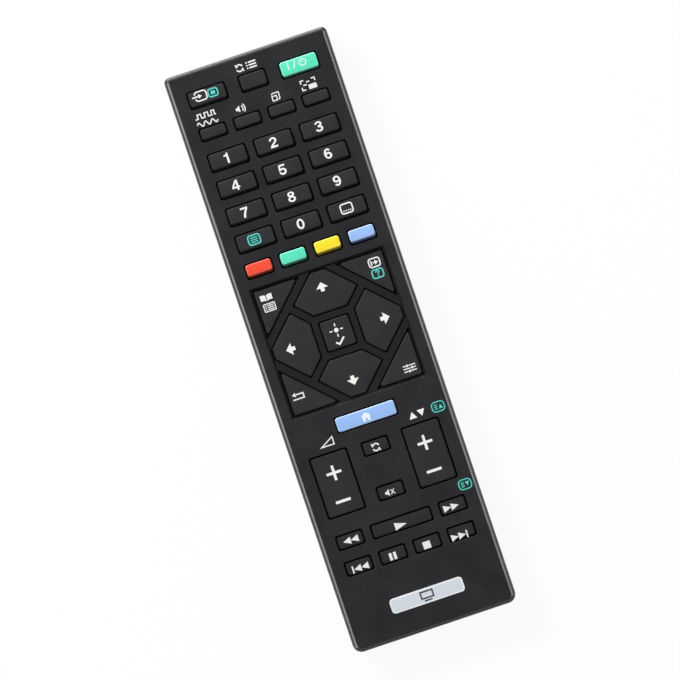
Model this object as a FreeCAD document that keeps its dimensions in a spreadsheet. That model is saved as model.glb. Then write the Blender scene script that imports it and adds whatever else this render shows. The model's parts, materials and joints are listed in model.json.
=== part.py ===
import FreeCAD, Part
import math
import os
import re
from typing import NamedTuple

import Sketcher

# A remote control lies on its back with its keys up. X runs across it, +Y towards the
# end that the infrared light leaves, and +Z up. The origin is the middle of the
# underside's bounding box. Lengths are in millimetres.

# Driving dimensions
DIMENSIONS = {
    # Rows of keys from the head end down, each measured from the row above it
    "head_margin": 8.6,
    "function_step": 10.1,
    "number_step": 8.25,
    "number_pitch": 8.0,
    "colour_step": 7.95,
    "nav_step": 24.05,
    "home_step": 24.5,
    "rocker_step": 15.35,
    "play_step": 16.05,
    "pause_step": 7.65,
    "plate_step": 13.8,
    "tail_margin": 9.7,
    # Columns of keys
    "number_column": 13.5,
    "small_pitch": 10.07,
    "side_margin": 5.15,
    "pair_spread": 6.55,
    # Key caps seen from above
    "number_width": 10.6,
    "number_depth": 4.8,
    "top_depth": 4.4,
    "menu_width": 7.4,
    "small_width": 7.3,
    "function_depth": 3.2,
    "colour_depth": 3.85,
    "transport_depth": 3.7,
    "bar_width": 17.2,
    "home_depth": 4.1,
    "rocker_width": 10.5,
    "rocker_depth": 17.4,
    "select_width": 8.4,
    # Ring of arrow and corner keys, measured from the middle of the select key
    "arrow_reach_end": 18.2,
    "ring_stretch": 0.65,
    "arrow_tip": 2.1,
    "arrow_root": 6.65,
    "arrow_web": 2.55,
    "corner_web": 2.75,
    # How far the caps stand over the deck, or lie under it
    "top_rise": 1.2,
    "function_rise": 0.9,
    "number_rise": 1.5,
    "colour_rise": 1.4,
    "home_rise": 0.6,
    "nav_sink": 0.1,
    "transport_sink": 0.8,
    "rocker_sink": 0.7,
    # Form of the caps and what is under them
    "key_gap": 0.35,
    "key_corner": 0.7,
    "key_edge": 0.35,
    "nav_corner": 0.5,
    "key_slope": 0.45,
    "colour_slope": 0.8,
    "slope_start": 0.1,
    "flange_overlap": 0.4,
    "flange_thickness": 0.6,
    "plunger_radius": 1.5,
    "plunger_spare": 0.1,
    "rocker_lift": 0.55,
    "rocker_arm": 6.0,
    "rocker_plunger_drop": 0.7,
    "fulcrum_width": 6.0,
    "fulcrum_foot": 1.2,
    "dot_radius": 0.42,
    "dot_height": 0.2,
    "number_dot_offset": 3.8,
    "play_dot_offset": 4.4,
    "rocker_dot_offset": 7.0,
    # Travel of the keys and the layers under the deck
    "key_travel": 1.0,
    "travel_spare": 0.1,
    "seat_gap": 0.1,
    "board_thickness": 1.2,
    "mat_thickness": 0.5,
    "mat_clearance": 0.3,
    "mat_inset": 0.4,
    # Casing walls
    "wall": 1.6,
    "floor_wall": 1.6,
    "deck": 1.7,
    "bevel_width": 0.6,
    "side_lean": 0.4,
    "head_radius": 1.6,
    "tail_radius": 2.6,
    "belly_radius": 8.0,
    "parting_drop": 3.8,
    "seam": 0.25,
    "lip_thickness": 0.75,
    "lip_height": 1.2,
    "lip_gap": 0.1,
    "catch_length": 6.0,
    "catch_depth": 0.3,
    "catch_height": 0.5,
    "catch_pitch": 52.0,
    "nav_depth": 0.8,
    "nav_slope": 0.6,
    "nav_margin": 0.1,
    "clamp_width": 1.0,
    "clamp_gap": 0.1,
    # Plate inlaid at the tail
    "plate_width": 21.4,
    "plate_depth": 4.3,
    "plate_thickness": 0.7,
    "plate_sink": 0.5,
    "plate_corner": 1.1,
    "plate_offset": 0.3,
    "plate_gap": 0.05,
    # Board, its posts and what is soldered to it
    "board_gap": 0.8,
    "board_tail": 5.0,
    "board_head": 6.0,
    "post_radius": 2.0,
    "pin_radius": 0.9,
    "pin_gap": 0.15,
    "post_column": 17.5,
    "post_head": 14.0,
    "post_pitch": 30.0,
    "light_radius": 1.5,
    "light_gap": 0.15,
    "light_lift": 0.15,
    "light_rim": 0.4,
    "light_rim_length": 0.8,
    "light_recess": 0.4,
    "light_setback": 0.6,
    "lead_width": 0.5,
    "lead_spread": 1.27,
    "lead_length": 3.0,
    "chip_side": 9.0,
    "chip_thickness": 1.5,
    "chip_standoff": 0.2,
    "chip_lead_width": 0.4,
    "chip_lead_pitch": 1.0,
    "chip_lead_reach": 1.0,
    "resonator_column": 5.85,
    "resonator_width": 6.5,
    "resonator_depth": 2.6,
    "resonator_height": 4.2,
    "resonator_corner": 1.0,
    "capacitor_column": 8.75,
    "capacitor_radius": 2.5,
    "capacitor_length": 8.0,
    "capacitor_groove": 0.35,
    "resistor_column": 8.75,
    "resistor_length": 2.0,
    "resistor_width": 1.2,
    "resistor_height": 0.6,
    "resistor_pitch": 3.0,
    # Cells, their bay and its contacts
    "cell_diameter": 10.5,
    "cell_length": 43.7,
    "nub_radius": 1.9,
    "nub_length": 0.8,
    "cell_spacing": 12.0,
    "cell_gap": 0.35,
    "end_play": 0.1,
    "bay_wall": 1.2,
    "bay_roof": 1.0,
    "bay_tail_space": 5.0,
    "bay_rib_width": 0.8,
    "bay_rib_drop": 2.5,
    "contact_thickness": 0.4,
    "contact_width": 9.5,
    "contact_height": 8.0,
    "tail_strip_width": 2.2,
    "slot_gap": 0.2,
    "spring_length": 4.6,
    "spring_base_radius": 3.4,
    "spring_tip_radius": 2.0,
    "spring_start": 1.5,
    "wire_diameter": 0.5,
    # Battery door
    "door_width": 30.0,
    "door_gap": 0.25,
    "door_foot_width": 34.4,
    "door_foot_length": 4.4,
    "door_lip_height": 7.0,
    "door_head_space": 4.0,
    "tab_gap": 0.35,
    "tab_thickness": 1.0,
    "tab_reach": 1.6,
    "tab_width": 1.5,
    "tab_length": 8.0,
    "tab_pitch": 20.0,
    "tongue_width": 3.6,
    "tongue_inset": 1.0,
    "tongue_length": 2.5,
    "tongue_root": 3.0,
    "grip_width": 14.0,
    "grip_groove": 0.9,
    "grip_depth": 0.4,
    "grip_pitch": 2.0,
    "grip_from_end": 12.0,
    "arrow_length": 4.0,
    "arrow_width": 7.0,
    "arrow_space": 4.0,
    # Bare recess on the back where a label could go
    "label_width": 30.0,
    "label_depth": 16.0,
    "label_sink": 0.3,
    "label_corner": 1.5,
    "label_from_head": 62.0,
}

# How many there are of each repeated form
SPRING_TURNS = 4
GRIP_GROOVES = 6
CHIP_LEADS = 8
RESISTOR_COUNT = 4
POST_ROWS = 3

# Two heights closer than this are the same height
SAME_HEIGHT = 1e-4

# Upright part of a unit vector along an edge, or out of a face, that is halfway to vertical
HALF_UPRIGHT = 0.5

# Sizes worked out from the driving ones and from each other
DERIVED = {
    "half_width": "max(number_column + number_width / 2; arrow_reach_side) + side_margin",
    "half_length": "(head_margin + function_step + number_step + 3 * number_pitch + colour_step + nav_step"
                   " + home_step + rocker_step + play_step + pause_step + plate_step + tail_margin) / 2",
    "top_row": "half_length - head_margin",
    "function_row": "top_row - function_step",
    "number_row": "function_row - number_step",
    "colour_row": "number_row - 3 * number_pitch - colour_step",
    "nav_row": "colour_row - nav_step",
    "home_row": "nav_row - home_step",
    "rocker_row": "home_row - rocker_step",
    "play_row": "rocker_row - play_step",
    "pause_row": "play_row - pause_step",
    "plate_row": "pause_row - plate_step",
    "cell_axis": "floor_wall + cell_gap + cell_diameter / 2",
    "bay_ceiling": "floor_wall + 2 * cell_gap + cell_diameter",
    "board_seat": "bay_ceiling + bay_roof",
    "board_top": "board_seat + board_thickness",
    "mat_top": "board_top + mat_thickness",
    "flange_low": "mat_top + key_travel + travel_spare",
    "plunger_length": "flange_low - board_top - key_travel - plunger_spare",
    "deck_low": "flange_low + flange_thickness + seat_gap",
    "deck_top": "deck_low + deck",
    "parting": "board_seat - parting_drop",
    "hollow_half_width": "half_width - side_lean - wall",
    "hollow_half_length": "half_length - side_lean - wall",
    "lip_half_width": "half_width - wall + lip_thickness",
    "lip_half_length": "half_length - wall + lip_thickness",
    "arrow_reach_side": "arrow_reach_end + ring_stretch",
    "diamond_reach": "arrow_reach_end + arrow_tip",
    "corner_line": "diamond_reach + corner_web * sqrt(2)",
    "mat_half_width": "hollow_half_width - mat_inset",
    "board_half_width": "half_width - wall - board_gap",
    "board_low_end": "pause_row - board_tail",
    "board_high_end": "half_length - board_head",
    "bay_half_width": "cell_spacing / 2 + cell_diameter / 2 + cell_gap",
    "bay_low": "bay_wall + bay_tail_space + wall - half_length",
    "bay_high": "bay_low + 2 * contact_thickness + cell_length + nub_length + spring_length + end_play",
    "tab_level": "floor_wall + tab_gap",
    "shelf_level": "tab_level + tab_thickness + tab_gap",
    "door_head": "bay_high + bay_wall + door_head_space",
    "light_base": "board_high_end + light_setback",
    "light_tip": "half_length - light_recess",
    "light_axis": "board_seat + light_lift",
}

WORD = re.compile(r"[a-z_]+")

doc = FreeCAD.newDocument("remote_control")
sheet = doc.addObject("Spreadsheet::Sheet", "Sizes")
finished = []


def fill_sheet():
    """Put each driving dimension in a row of the sheet, under its own name."""
    for row, (name, number) in enumerate(DIMENSIONS.items(), 1):
        sheet.set(f"A{row}", name)
        sheet.set(f"B{row}", str(number))
        sheet.setAlias(f"B{row}", name)
    doc.recompute()


def size(name):
    """Number that the sheet holds under a name."""
    return float(sheet.get(name))


def spell(formula):
    """Formula with each name replaced by its cell, or by what it is worked out from."""
    def swap(found):
        word = found.group()
        if word in DIMENSIONS:
            return f"Sizes.{word}"
        if word in DERIVED:
            return f"({spell(DERIVED[word])})"
        return word
    return WORD.sub(swap, formula)


def bind(item, path, formula):
    """Tie a property to a formula."""
    item.setExpression(path, spell(formula))


def finish(item, name):
    """Name an object as one of the sub-parts."""
    item.Label = name
    finished.append(item)
    return item


# Sketched bodies

def new_body(name, place=("0", "0", "0")):
    """Body whose origin is tied to three formulas."""
    body = doc.addObject("PartDesign::Body", name)
    for axis, formula in zip("xyz", place):
        bind(body, f"Placement.Base.{axis}", formula)
    return body


def new_sketch(body, name, role="XY_Plane", offset="0"):
    """Sketch on one of the body's own planes, moved along the plane's normal."""
    sketch = body.newObject("Sketcher::SketchObject", name)
    base = [feature for feature in body.Origin.OriginFeatures if feature.Role == role]
    sketch.AttachmentSupport = [(base[0], "")]
    sketch.MapMode = "FlatFace"
    bind(sketch, "AttachmentOffset.Base.z", offset)
    return sketch


def draw_polygon(sketch, corners):
    """Closed outline of straight lines, each corner tied to two formulas."""
    count = len(corners)
    angles = [2 * math.pi * index / count for index in range(count)]
    guess = [FreeCAD.Vector(math.cos(angle), math.sin(angle), 0) for angle in angles]
    lines = [Part.LineSegment(guess[index], guess[(index + 1) % count]) for index in range(count)]
    sketch.addGeometry(lines, False)
    rules = [Sketcher.Constraint("Coincident", index, 2, (index + 1) % count, 1) for index in range(count)]
    for index, point in enumerate(guess):
        rules.append(Sketcher.Constraint("DistanceX", -1, 1, index, 1, point.x))
        rules.append(Sketcher.Constraint("DistanceY", -1, 1, index, 1, point.y))
    sketch.addConstraint(rules)
    for index, (across, along) in enumerate(corners):
        bind(sketch, f"Constraints[{count + 2 * index}]", across)
        bind(sketch, f"Constraints[{count + 2 * index + 1}]", along)


def draw_circle(sketch, radius, across, along):
    """Circle whose radius and centre are tied to formulas."""
    sketch.addGeometry(Part.Circle(FreeCAD.Vector(1, 1, 0), FreeCAD.Vector(0, 0, 1), 1), False)
    sketch.addConstraint([
        Sketcher.Constraint("Radius", 0, 1),
        Sketcher.Constraint("DistanceX", -1, 1, 0, 3, 1),
        Sketcher.Constraint("DistanceY", -1, 1, 0, 3, 1),
    ])
    for index, formula in enumerate((radius, across, along)):
        bind(sketch, f"Constraints[{index}]", formula)


def rectangle(half_width, low, high):
    """Corners of a rectangle centred across the part."""
    return [(f"-({half_width})", low), (half_width, low), (half_width, high), (f"-({half_width})", high)]


def pad(body, name, sketch, length):
    """Solid from a sketch, along the sketch's normal."""
    feature = body.newObject("PartDesign::Pad", name)
    feature.Profile = sketch
    bind(feature, "Length", length)
    return feature


def pocket_across(body, name, sketch):
    """Cut a sketch's outline right through the body, both ways from its plane."""
    before = body.Tip
    feature = body.newObject("PartDesign::Pocket", name)
    feature.Profile = sketch
    feature.Type = "ThroughAll"
    feature.SideType = "Two sides"
    feature.Type2 = "ThroughAll"
    doc.recompute()
    if not feature.Shape.Volume < before.Shape.Volume:
        raise ValueError(f"{name} cuts nothing")
    return feature


def round_edges(body, name, radius, wanted, kind="PartDesign::Fillet"):
    """Round or bevel the edges that a test picks out of the body as it is so far."""
    doc.recompute()
    base = body.Tip
    edges = [f"Edge{index}" for index, edge in enumerate(base.Shape.Edges, 1) if wanted(edge)]
    feature = body.newObject(kind, name)
    feature.Base = (base, edges)
    bind(feature, "Radius" if kind == "PartDesign::Fillet" else "Size", radius)
    return feature


def steep(edge):
    """Whether an edge climbs more than it runs."""
    return abs(edge.tangentAt(edge.FirstParameter).z) > HALF_UPRIGHT


def at_height(height):
    """Test for edges that lie at one height."""
    def lies_there(edge):
        box = edge.BoundBox
        return abs(box.ZMin - height) < SAME_HEIGHT and abs(box.ZMax - height) < SAME_HEIGHT
    return lies_there


def round_rim(body, name, radius, kind="PartDesign::Fillet"):
    """Round or bevel the edges of the body's highest face."""
    doc.recompute()
    return round_edges(body, name, radius, at_height(highest(body.Tip.Shape)), kind)


def highest(shape):
    """Height of the highest corner, in the body's own frame."""
    return max(vertex.Z for vertex in shape.Vertexes)


# Blocks, rods and how they are joined

def block(name, low, high):
    """Box from its low corner to its high corner, each three formulas."""
    box = doc.addObject("Part::Box", name)
    for side, axis, start, end in zip(("Length", "Width", "Height"), "xyz", low, high):
        bind(box, side, f"({end}) - ({start})")
        bind(box, f"Placement.Base.{axis}", start)
    return box


def side_reach(side, inner, outer):
    """Low and high end of a reach away from the middle, on the left (-1) or the right (1)."""
    ends = (f"{side} * ({inner})", f"{side} * ({outer})")
    return ends if side > 0 else ends[::-1]


def middle_block(name, half_width, along, upright):
    """Box centred across the part, with its reach along Y and Z."""
    return block(name, (f"-({half_width})", along[0], upright[0]), (half_width, along[1], upright[1]))


def round_block(name, low, high, radius):
    """Box with its four upright edges rounded."""
    box = block(f"{name}_block", low, high)
    rounded = doc.addObject("Part::Fillet", name)
    rounded.Base = box
    rounded.Edges = [(edge, radius, radius) for edge in (1, 3, 5, 7)]
    return rounded


def rod(name, radius, length, start, turn=None):
    """Cylinder from a start point along +Z, or turned to another direction."""
    cylinder = doc.addObject("Part::Cylinder", name)
    bind(cylinder, "Radius", radius)
    bind(cylinder, "Height", length)
    if turn:
        cylinder.Placement = FreeCAD.Placement(FreeCAD.Vector(), turn)
    for axis, formula in zip("xyz", start):
        bind(cylinder, f"Placement.Base.{axis}", formula)
    return cylinder


def fuse(name, pieces):
    """One solid from several."""
    whole = doc.addObject("Part::MultiFuse", name)
    whole.Shapes = pieces
    return whole


def group(name, pieces):
    """Several solids kept apart in one object."""
    whole = doc.addObject("Part::Compound", name)
    whole.Links = pieces
    return whole


def cut(name, base, tool):
    """One solid less another."""
    less = doc.addObject("Part::Cut", name)
    less.Base = base
    less.Tool = tool
    return less


def common(name, first, second):
    """What two solids share."""
    shared = doc.addObject("Part::Common", name)
    shared.Base = first
    shared.Tool = second
    return shared


ALONG_Y = FreeCAD.Rotation(FreeCAD.Vector(1, 0, 0), -90)
AGAINST_Y = FreeCAD.Rotation(FreeCAD.Vector(1, 0, 0), 90)
UPRIGHT = AGAINST_Y
SIDES = (-1, 1)


# Keys

class Style(NamedTuple):
    """Size of a key cap, its height over the deck, and how far its lower side leans back."""

    width: str
    depth: str
    rise: str
    slope: str = ""


class Key(NamedTuple):
    """A key with a rectangular cap: its name, column, row and style."""

    name: str
    column: str
    row: str
    style: Style


BROAD = Style("number_width", "top_depth", "top_rise", "key_slope")
MENU = Style("menu_width", "top_depth", "top_rise", "key_slope")
FUNCTION = Style("small_width", "function_depth", "function_rise", "key_slope")
NUMBER = Style("number_width", "number_depth", "number_rise", "key_slope")
COLOUR = Style("small_width", "colour_depth", "colour_rise", "colour_slope")
SELECT = Style("select_width", "select_width", "-nav_sink")
HOME = Style("bar_width", "home_depth", "home_rise")
PLAY = Style("bar_width", "transport_depth", "-transport_sink")
TRANSPORT = Style("small_width", "transport_depth", "-transport_sink")
ROCKER = Style("rocker_width", "rocker_depth", "-rocker_sink")

FOUR_COLUMNS = ("-1.5 * small_pitch", "-0.5 * small_pitch", "0.5 * small_pitch", "1.5 * small_pitch")
THREE_COLUMNS = ("-number_column", "0", "number_column")


def key_row(names, columns, row, style):
    """Keys side by side in one row."""
    return [Key(name, column, row, style) for name, column in zip(names, columns)]


def number_rows():
    """The three rows of digits, and the row with the nought between two page keys."""
    rows = [[f"number_key_{3 * line + place}" for place in (1, 2, 3)] for line in range(3)]
    rows.append(["text_key", "number_key_0", "subtitle_key"])
    keys = []
    for line, names in enumerate(rows):
        keys += key_row(names, THREE_COLUMNS, f"number_row - {line} * number_pitch", NUMBER)
    return keys


KEYS = [
    Key("input_key", "-number_column", "top_row", BROAD),
    Key("menu_key", "0", "top_row", MENU),
    Key("power_key", "number_column", "top_row", BROAD),
    *key_row(
        ("broadcast_key", "audio_key", "depth_key", "format_key"), FOUR_COLUMNS, "function_row", FUNCTION,
    ),
    *number_rows(),
    *key_row(("red_key", "green_key", "yellow_key", "blue_key"), FOUR_COLUMNS, "colour_row", COLOUR),
    Key("select_key", "0", "nav_row", SELECT),
    Key("home_key", "0", "home_row", HOME),
    Key("swap_key", "0", "rocker_row + pair_spread", TRANSPORT),
    Key("mute_key", "0", "rocker_row - pair_spread", TRANSPORT),
    Key("rewind_key", FOUR_COLUMNS[0], "play_row", TRANSPORT),
    Key("play_key", "0", "play_row", PLAY),
    Key("forward_key", FOUR_COLUMNS[3], "play_row", TRANSPORT),
    *key_row(("previous_key", "pause_key", "stop_key", "next_key"), FOUR_COLUMNS, "pause_row", TRANSPORT),
]

ROCKERS = [
    Key("volume_rocker", "-number_column", "rocker_row", ROCKER),
    Key("programme_rocker", "number_column", "rocker_row", ROCKER),
]

# Raised dots that a finger finds: which key, and how far from its middle
DOTS = {
    "number_key_5": ("number_dot_offset", "0"),
    "play_key": ("play_dot_offset", "0"),
    "programme_rocker": ("0", "rocker_dot_offset"),
}


def cap_rectangle(style, grow="0"):
    """Corners of a rectangular cap, grown all round."""
    half_width = f"({style.width}) / 2 + {grow}"
    half_depth = f"({style.depth}) / 2 + {grow}"
    return rectangle(half_width, f"-({half_depth})", half_depth)


def arrow_outline(reach, turn):
    """Function that gives the corners of an arrow key, grown all round."""
    def corners(grow="0"):
        tip = f"({reach} + {grow})"
        root = f"(arrow_root - {grow})"
        outer = f"(diamond_reach + ({grow}) * sqrt(2))"
        inner = f"((arrow_web / 2 - ({grow})) * sqrt(2))"
        wing = f"(({outer} - {inner}) / 2)"
        points = [
            (tip, f"({outer} - {tip})"),
            (f"({outer} - {wing})", wing),
            (root, f"({root} - {inner})"),
        ]
        mirrored = [(along, f"-{across}") for along, across in reversed(points)]
        return [turn(along, across) for along, across in points + mirrored]
    return corners


def corner_outline(side, end):
    """Function that gives the corners of a three-sided corner key, grown all round."""
    def corners(grow="0"):
        reach_x = f"(arrow_reach_side + {grow})"
        reach_y = f"(arrow_reach_end + {grow})"
        slant = f"(corner_line - ({grow}) * sqrt(2))"
        points = [
            (reach_x, reach_y),
            (f"({slant} - {reach_y})", reach_y),
            (reach_x, f"({slant} - {reach_x})"),
        ]
        return [(f"{side}{across}", f"{end}{along}") for across, along in points]
    return corners


NAV_KEYS = {
    "up_key": arrow_outline("arrow_reach_end", lambda along, across: (across, along)),
    "down_key": arrow_outline("arrow_reach_end", lambda along, across: (across, f"-{along}")),
    "left_key": arrow_outline("arrow_reach_side", lambda along, across: (f"-{along}", across)),
    "right_key": arrow_outline("arrow_reach_side", lambda along, across: (along, across)),
    "guide_key": corner_outline("-", ""),
    "info_key": corner_outline("", ""),
    "return_key": corner_outline("-", "-"),
    "options_key": corner_outline("", "-"),
}


def sloped_side(body, name, style, low):
    """Lean the cap's lower side back from just over the deck up to its top."""
    start = f"deck_top + slope_start - ({low})"
    side = f"-({style.depth}) / 2"
    top = f"deck_top + {style.rise} - ({low})"
    sketch = new_sketch(body, f"{name}_slope_outline", "YZ_Plane")
    draw_polygon(sketch, [
        (f"{side} - {style.slope}", start),
        (side, start),
        (f"{side} + {style.slope}", top),
        (f"{side} + {style.slope}", f"{top} + {style.slope}"),
        (f"{side} - {style.slope}", f"{top} + {style.slope}"),
    ])
    return pocket_across(body, f"{name}_slope", sketch)


def add_dot(body, name, height):
    """Small raised dot on the cap."""
    across, along = DOTS[name]
    sketch = new_sketch(body, f"{name}_dot_outline", offset=f"{height} - dot_height")
    draw_circle(sketch, "dot_radius", across, along)
    return pad(body, f"{name}_dot", sketch, "2 * dot_height")


def add_plunger(body, name, length, along="0", across="0"):
    """Stem under the flange that closes the contact on the board."""
    sketch = new_sketch(body, f"{name}_outline", offset=f"-({length})")
    draw_circle(sketch, "plunger_radius", across, along)
    return pad(body, name, sketch, length)


def add_flange(body, name, corners):
    """Flat collar, wider than the opening, that the deck holds down."""
    sketch = new_sketch(body, f"{name}_flange_outline")
    draw_polygon(sketch, corners)
    return pad(body, f"{name}_flange", sketch, "flange_thickness")


def make_cap(body, name, corners, height, corner_radius, style=None, low="flange_low"):
    """Cap with rounded corners and a softened rim."""
    sketch = new_sketch(body, f"{name}_cap_outline")
    draw_polygon(sketch, corners)
    pad(body, f"{name}_cap", sketch, height)
    doc.recompute()
    if style and style.slope:
        sloped_side(body, name, style, low)
    round_edges(body, f"{name}_corners", corner_radius, steep)
    round_rim(body, f"{name}_rim", "key_edge")


def make_key(key):
    """Key with a rectangular cap, its collar and its plunger."""
    height = f"deck_top + {key.style.rise} - flange_low"
    body = new_body(key.name, (key.column, key.row, "flange_low"))
    make_cap(body, key.name, cap_rectangle(key.style), height, "key_corner", key.style)
    add_flange(body, key.name, cap_rectangle(key.style, "key_gap + flange_overlap"))
    add_plunger(body, f"{key.name}_plunger", "plunger_length")
    if key.name in DOTS:
        add_dot(body, key.name, height)
    finish(body, key.name)


def make_nav_key(name, corners):
    """Arrow or corner key of the ring round the select key."""
    height = "deck_top - nav_sink - flange_low"
    body = new_body(name, ("0", "nav_row", "flange_low"))
    make_cap(body, name, corners(), height, "nav_corner")
    add_flange(body, name, corners("(key_gap + flange_overlap)"))
    across, along = nav_stem(name)
    add_plunger(body, f"{name}_plunger", "plunger_length", along, across)
    finish(body, name)


def nav_stem(name):
    """Middle of the plunger under a key of the ring, from the ring's middle."""
    along = "(arrow_root + arrow_reach_end) / 2"
    across = "(corner_line + arrow_reach_side + arrow_reach_end) / 4"
    return {
        "up_key": ("0", along),
        "down_key": ("0", f"-{along}"),
        "left_key": (f"-{along}", "0"),
        "right_key": (along, "0"),
        "guide_key": (f"-{across}", across),
        "info_key": (across, across),
        "return_key": (f"-{across}", f"-{across}"),
        "options_key": (across, f"-{across}"),
    }[name]


def make_rocker(key):
    """Rocker that tips on a ridge in its middle and closes one contact at each end."""
    low = "mat_top + rocker_lift"
    height = f"deck_top + {key.style.rise} - ({low})"
    body = new_body(key.name, (key.column, key.row, low))
    make_cap(body, key.name, cap_rectangle(key.style), height, "key_corner")
    add_flange(body, key.name, cap_rectangle(key.style, "key_gap + flange_overlap"))
    for end, along in (("upper", "rocker_arm"), ("lower", "-rocker_arm")):
        add_plunger(body, f"{key.name}_{end}_plunger", "rocker_plunger_drop", along)
    ridge = new_sketch(body, f"{key.name}_ridge_outline", offset="seat_gap - rocker_lift")
    draw_polygon(ridge, rectangle("fulcrum_width / 2", "-fulcrum_foot / 2", "fulcrum_foot / 2"))
    pad(body, f"{key.name}_ridge", ridge, "rocker_lift - seat_gap")
    if key.name in DOTS:
        add_dot(body, key.name, height)
    finish(body, key.name)


# Openings in the deck, grown from the same outlines as the keys

def key_opening(key):
    """Solid that cuts a rectangular key's opening."""
    half_width = f"({key.style.width}) / 2 + key_gap"
    half_depth = f"({key.style.depth}) / 2 + key_gap"
    low = (f"{key.column} - ({half_width})", f"{key.row} - ({half_depth})", "deck_low - key_gap")
    high = (f"{key.column} + {half_width}", f"{key.row} + {half_depth}", "deck_top + key_gap")
    return round_block(f"{key.name}_opening", low, high, size("key_corner"))


def nav_opening(name, corners):
    """Solid that cuts an arrow or corner key's opening."""
    body = new_body(f"{name}_opening", ("0", "nav_row", "deck_low - key_gap"))
    sketch = new_sketch(body, f"{name}_opening_outline")
    draw_polygon(sketch, corners("key_gap"))
    pad(body, f"{name}_opening_pad", sketch, "deck + 2 * key_gap")
    return body


def leaning_block(name, low, high, along="0"):
    """Block with leaning sides, from its half width, half length and height below to those above."""
    wedge = doc.addObject("Part::Wedge", name)
    for number, (half_width, half_length, _) in (("", low), ("2", high)):
        for axis, half in (("X", half_width), ("Z", half_length)):
            bind(wedge, f"{axis}{number}min", f"-({half})")
            bind(wedge, f"{axis}{number}max", half)
    bind(wedge, "Ymax", f"({high[2]}) - ({low[2]})")
    wedge.Placement = FreeCAD.Placement(FreeCAD.Vector(), UPRIGHT)
    bind(wedge, "Placement.Base.y", along)
    bind(wedge, "Placement.Base.z", low[2])
    return wedge


# Casing

def front_blank():
    """Outer form of the front casing: sides that lean in a little, and a bevel round the deck."""
    body = new_body("front_blank", ("0", "0", "parting"))
    sketch = new_sketch(body, "front_outline")
    draw_polygon(sketch, rectangle("half_width", "-(half_length)", "half_length"))
    pad(body, "front_pad", sketch, "deck_top - parting")
    for end, radius, side in (("head", "head_radius", 1), ("tail", "tail_radius", -1)):
        round_edges(
            body, f"front_{end}_corners", radius, lambda edge: steep(edge) and side * edge.CenterOfMass.y > 0,
        )
    lean_sides(body)
    round_rim(body, "front_bevel", "bevel_width", "PartDesign::Chamfer")
    return body


def lean_sides(body):
    """Lean every side face inwards from the parting face up."""
    doc.recompute()
    base = body.Tip
    looks_up = [face.normalAt(0, 0).z for face in base.Shape.Faces]
    draft = body.newObject("PartDesign::Draft", "front_lean")
    draft.Base = (base, [f"Face{index}" for index, z in enumerate(looks_up, 1) if abs(z) < HALF_UPRIGHT])
    draft.NeutralPlane = (base, [f"Face{index}" for index, z in enumerate(looks_up, 1) if z < -HALF_UPRIGHT])
    bind(draft, "Angle", "atan(side_lean / (deck_top - parting))")


def front_hollow():
    """Room inside the front casing, wider at the parting face for the rear casing's lip."""
    room = middle_block(
        "front_room", "hollow_half_width", ("-(hollow_half_length)", "hollow_half_length"),
        ("parting - wall", "deck_low"),
    )
    rebate = round_block(
        "front_rebate",
        ("-(lip_half_width + lip_gap)", "-(lip_half_length + lip_gap)", "parting - wall"),
        ("lip_half_width + lip_gap", "lip_half_length + lip_gap", "parting + lip_height + lip_gap"),
        lip_radius() + size("lip_gap"),
    )
    return fuse("front_hollow", [room, rebate, *catches("front_catch", "lip_gap")])


def catches(name, grow):
    """Ridges along the lip that snap into pockets of the same form, grown by a gap."""
    ridges = []
    middle = "parting + lip_height / 2"
    outer = f"lip_half_width + catch_depth + {grow}"
    for side in SIDES:
        across = side_reach(side, "lip_half_width - lip_thickness / 2", outer)
        for place in (-1, 0, 1):
            along = f"{place} * catch_pitch"
            ridges.append(block(
                f"{name}_{len(ridges)}",
                (across[0], f"{along} - catch_length / 2 - {grow}", f"{middle} - catch_height / 2 - {grow}"),
                (across[1], f"{along} + catch_length / 2 + {grow}", f"{middle} + catch_height / 2 + {grow}"),
            ))
    return ridges


def clamp_ribs():
    """Two long ribs under the deck that hold the mat's sides down on the board."""
    ribs = []
    for side in SIDES:
        across = side_reach(side, "mat_half_width - clamp_width", "mat_half_width")
        ribs.append(block(
            f"clamp_rib_{len(ribs)}",
            (across[0], "board_low_end + wall", "mat_top + clamp_gap"),
            (across[1], "board_high_end - wall", "deck_low + clamp_gap"),
        ))
    return ribs


def nav_recess():
    """Shallow square basin with sloping sides round the arrow keys."""
    half_side = "arrow_reach_side + key_gap + nav_margin"
    half_end = "arrow_reach_end + key_gap + nav_margin"
    low = (half_side, half_end, "deck_top - nav_depth")
    high = (f"{half_side} + nav_slope", f"{half_end} + nav_slope", "deck_top")
    return leaning_block("nav_recess", low, high, "nav_row")


def plate_block(name, grow, low, high):
    """Long block with round corners, the form of the inlaid plate and of its seat."""
    return round_block(
        name,
        (f"plate_offset - plate_width / 2 - {grow}", f"plate_row - plate_depth / 2 - {grow}", low),
        (f"plate_offset + plate_width / 2 + {grow}", f"plate_row + plate_depth / 2 + {grow}", high),
        size("plate_corner"),
    )


def make_front_casing():
    """Deck and side walls in one shell, with an opening for every key."""
    shell = cut("front_shell", front_blank(), front_hollow())
    ribbed = fuse("front_ribbed", [shell, *clamp_ribs()])
    basin = cut("front_with_basin", ribbed, nav_recess())
    openings = [key_opening(key) for key in KEYS + ROCKERS]
    openings += [nav_opening(name, corners) for name, corners in NAV_KEYS.items()]
    openings.append(plate_block("plate_seat", "plate_gap", "deck_top - plate_sink", "deck_top + plate_sink"))
    openings.append(rod(
        "light_hole", "light_radius + light_gap", "2 * wall + side_lean + bevel_width",
        ("0", "hollow_half_length - wall / 2", "light_axis"), ALONG_Y,
    ))
    finish(cut("front_casing", basin, group("front_openings", openings)), "front_casing")


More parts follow.
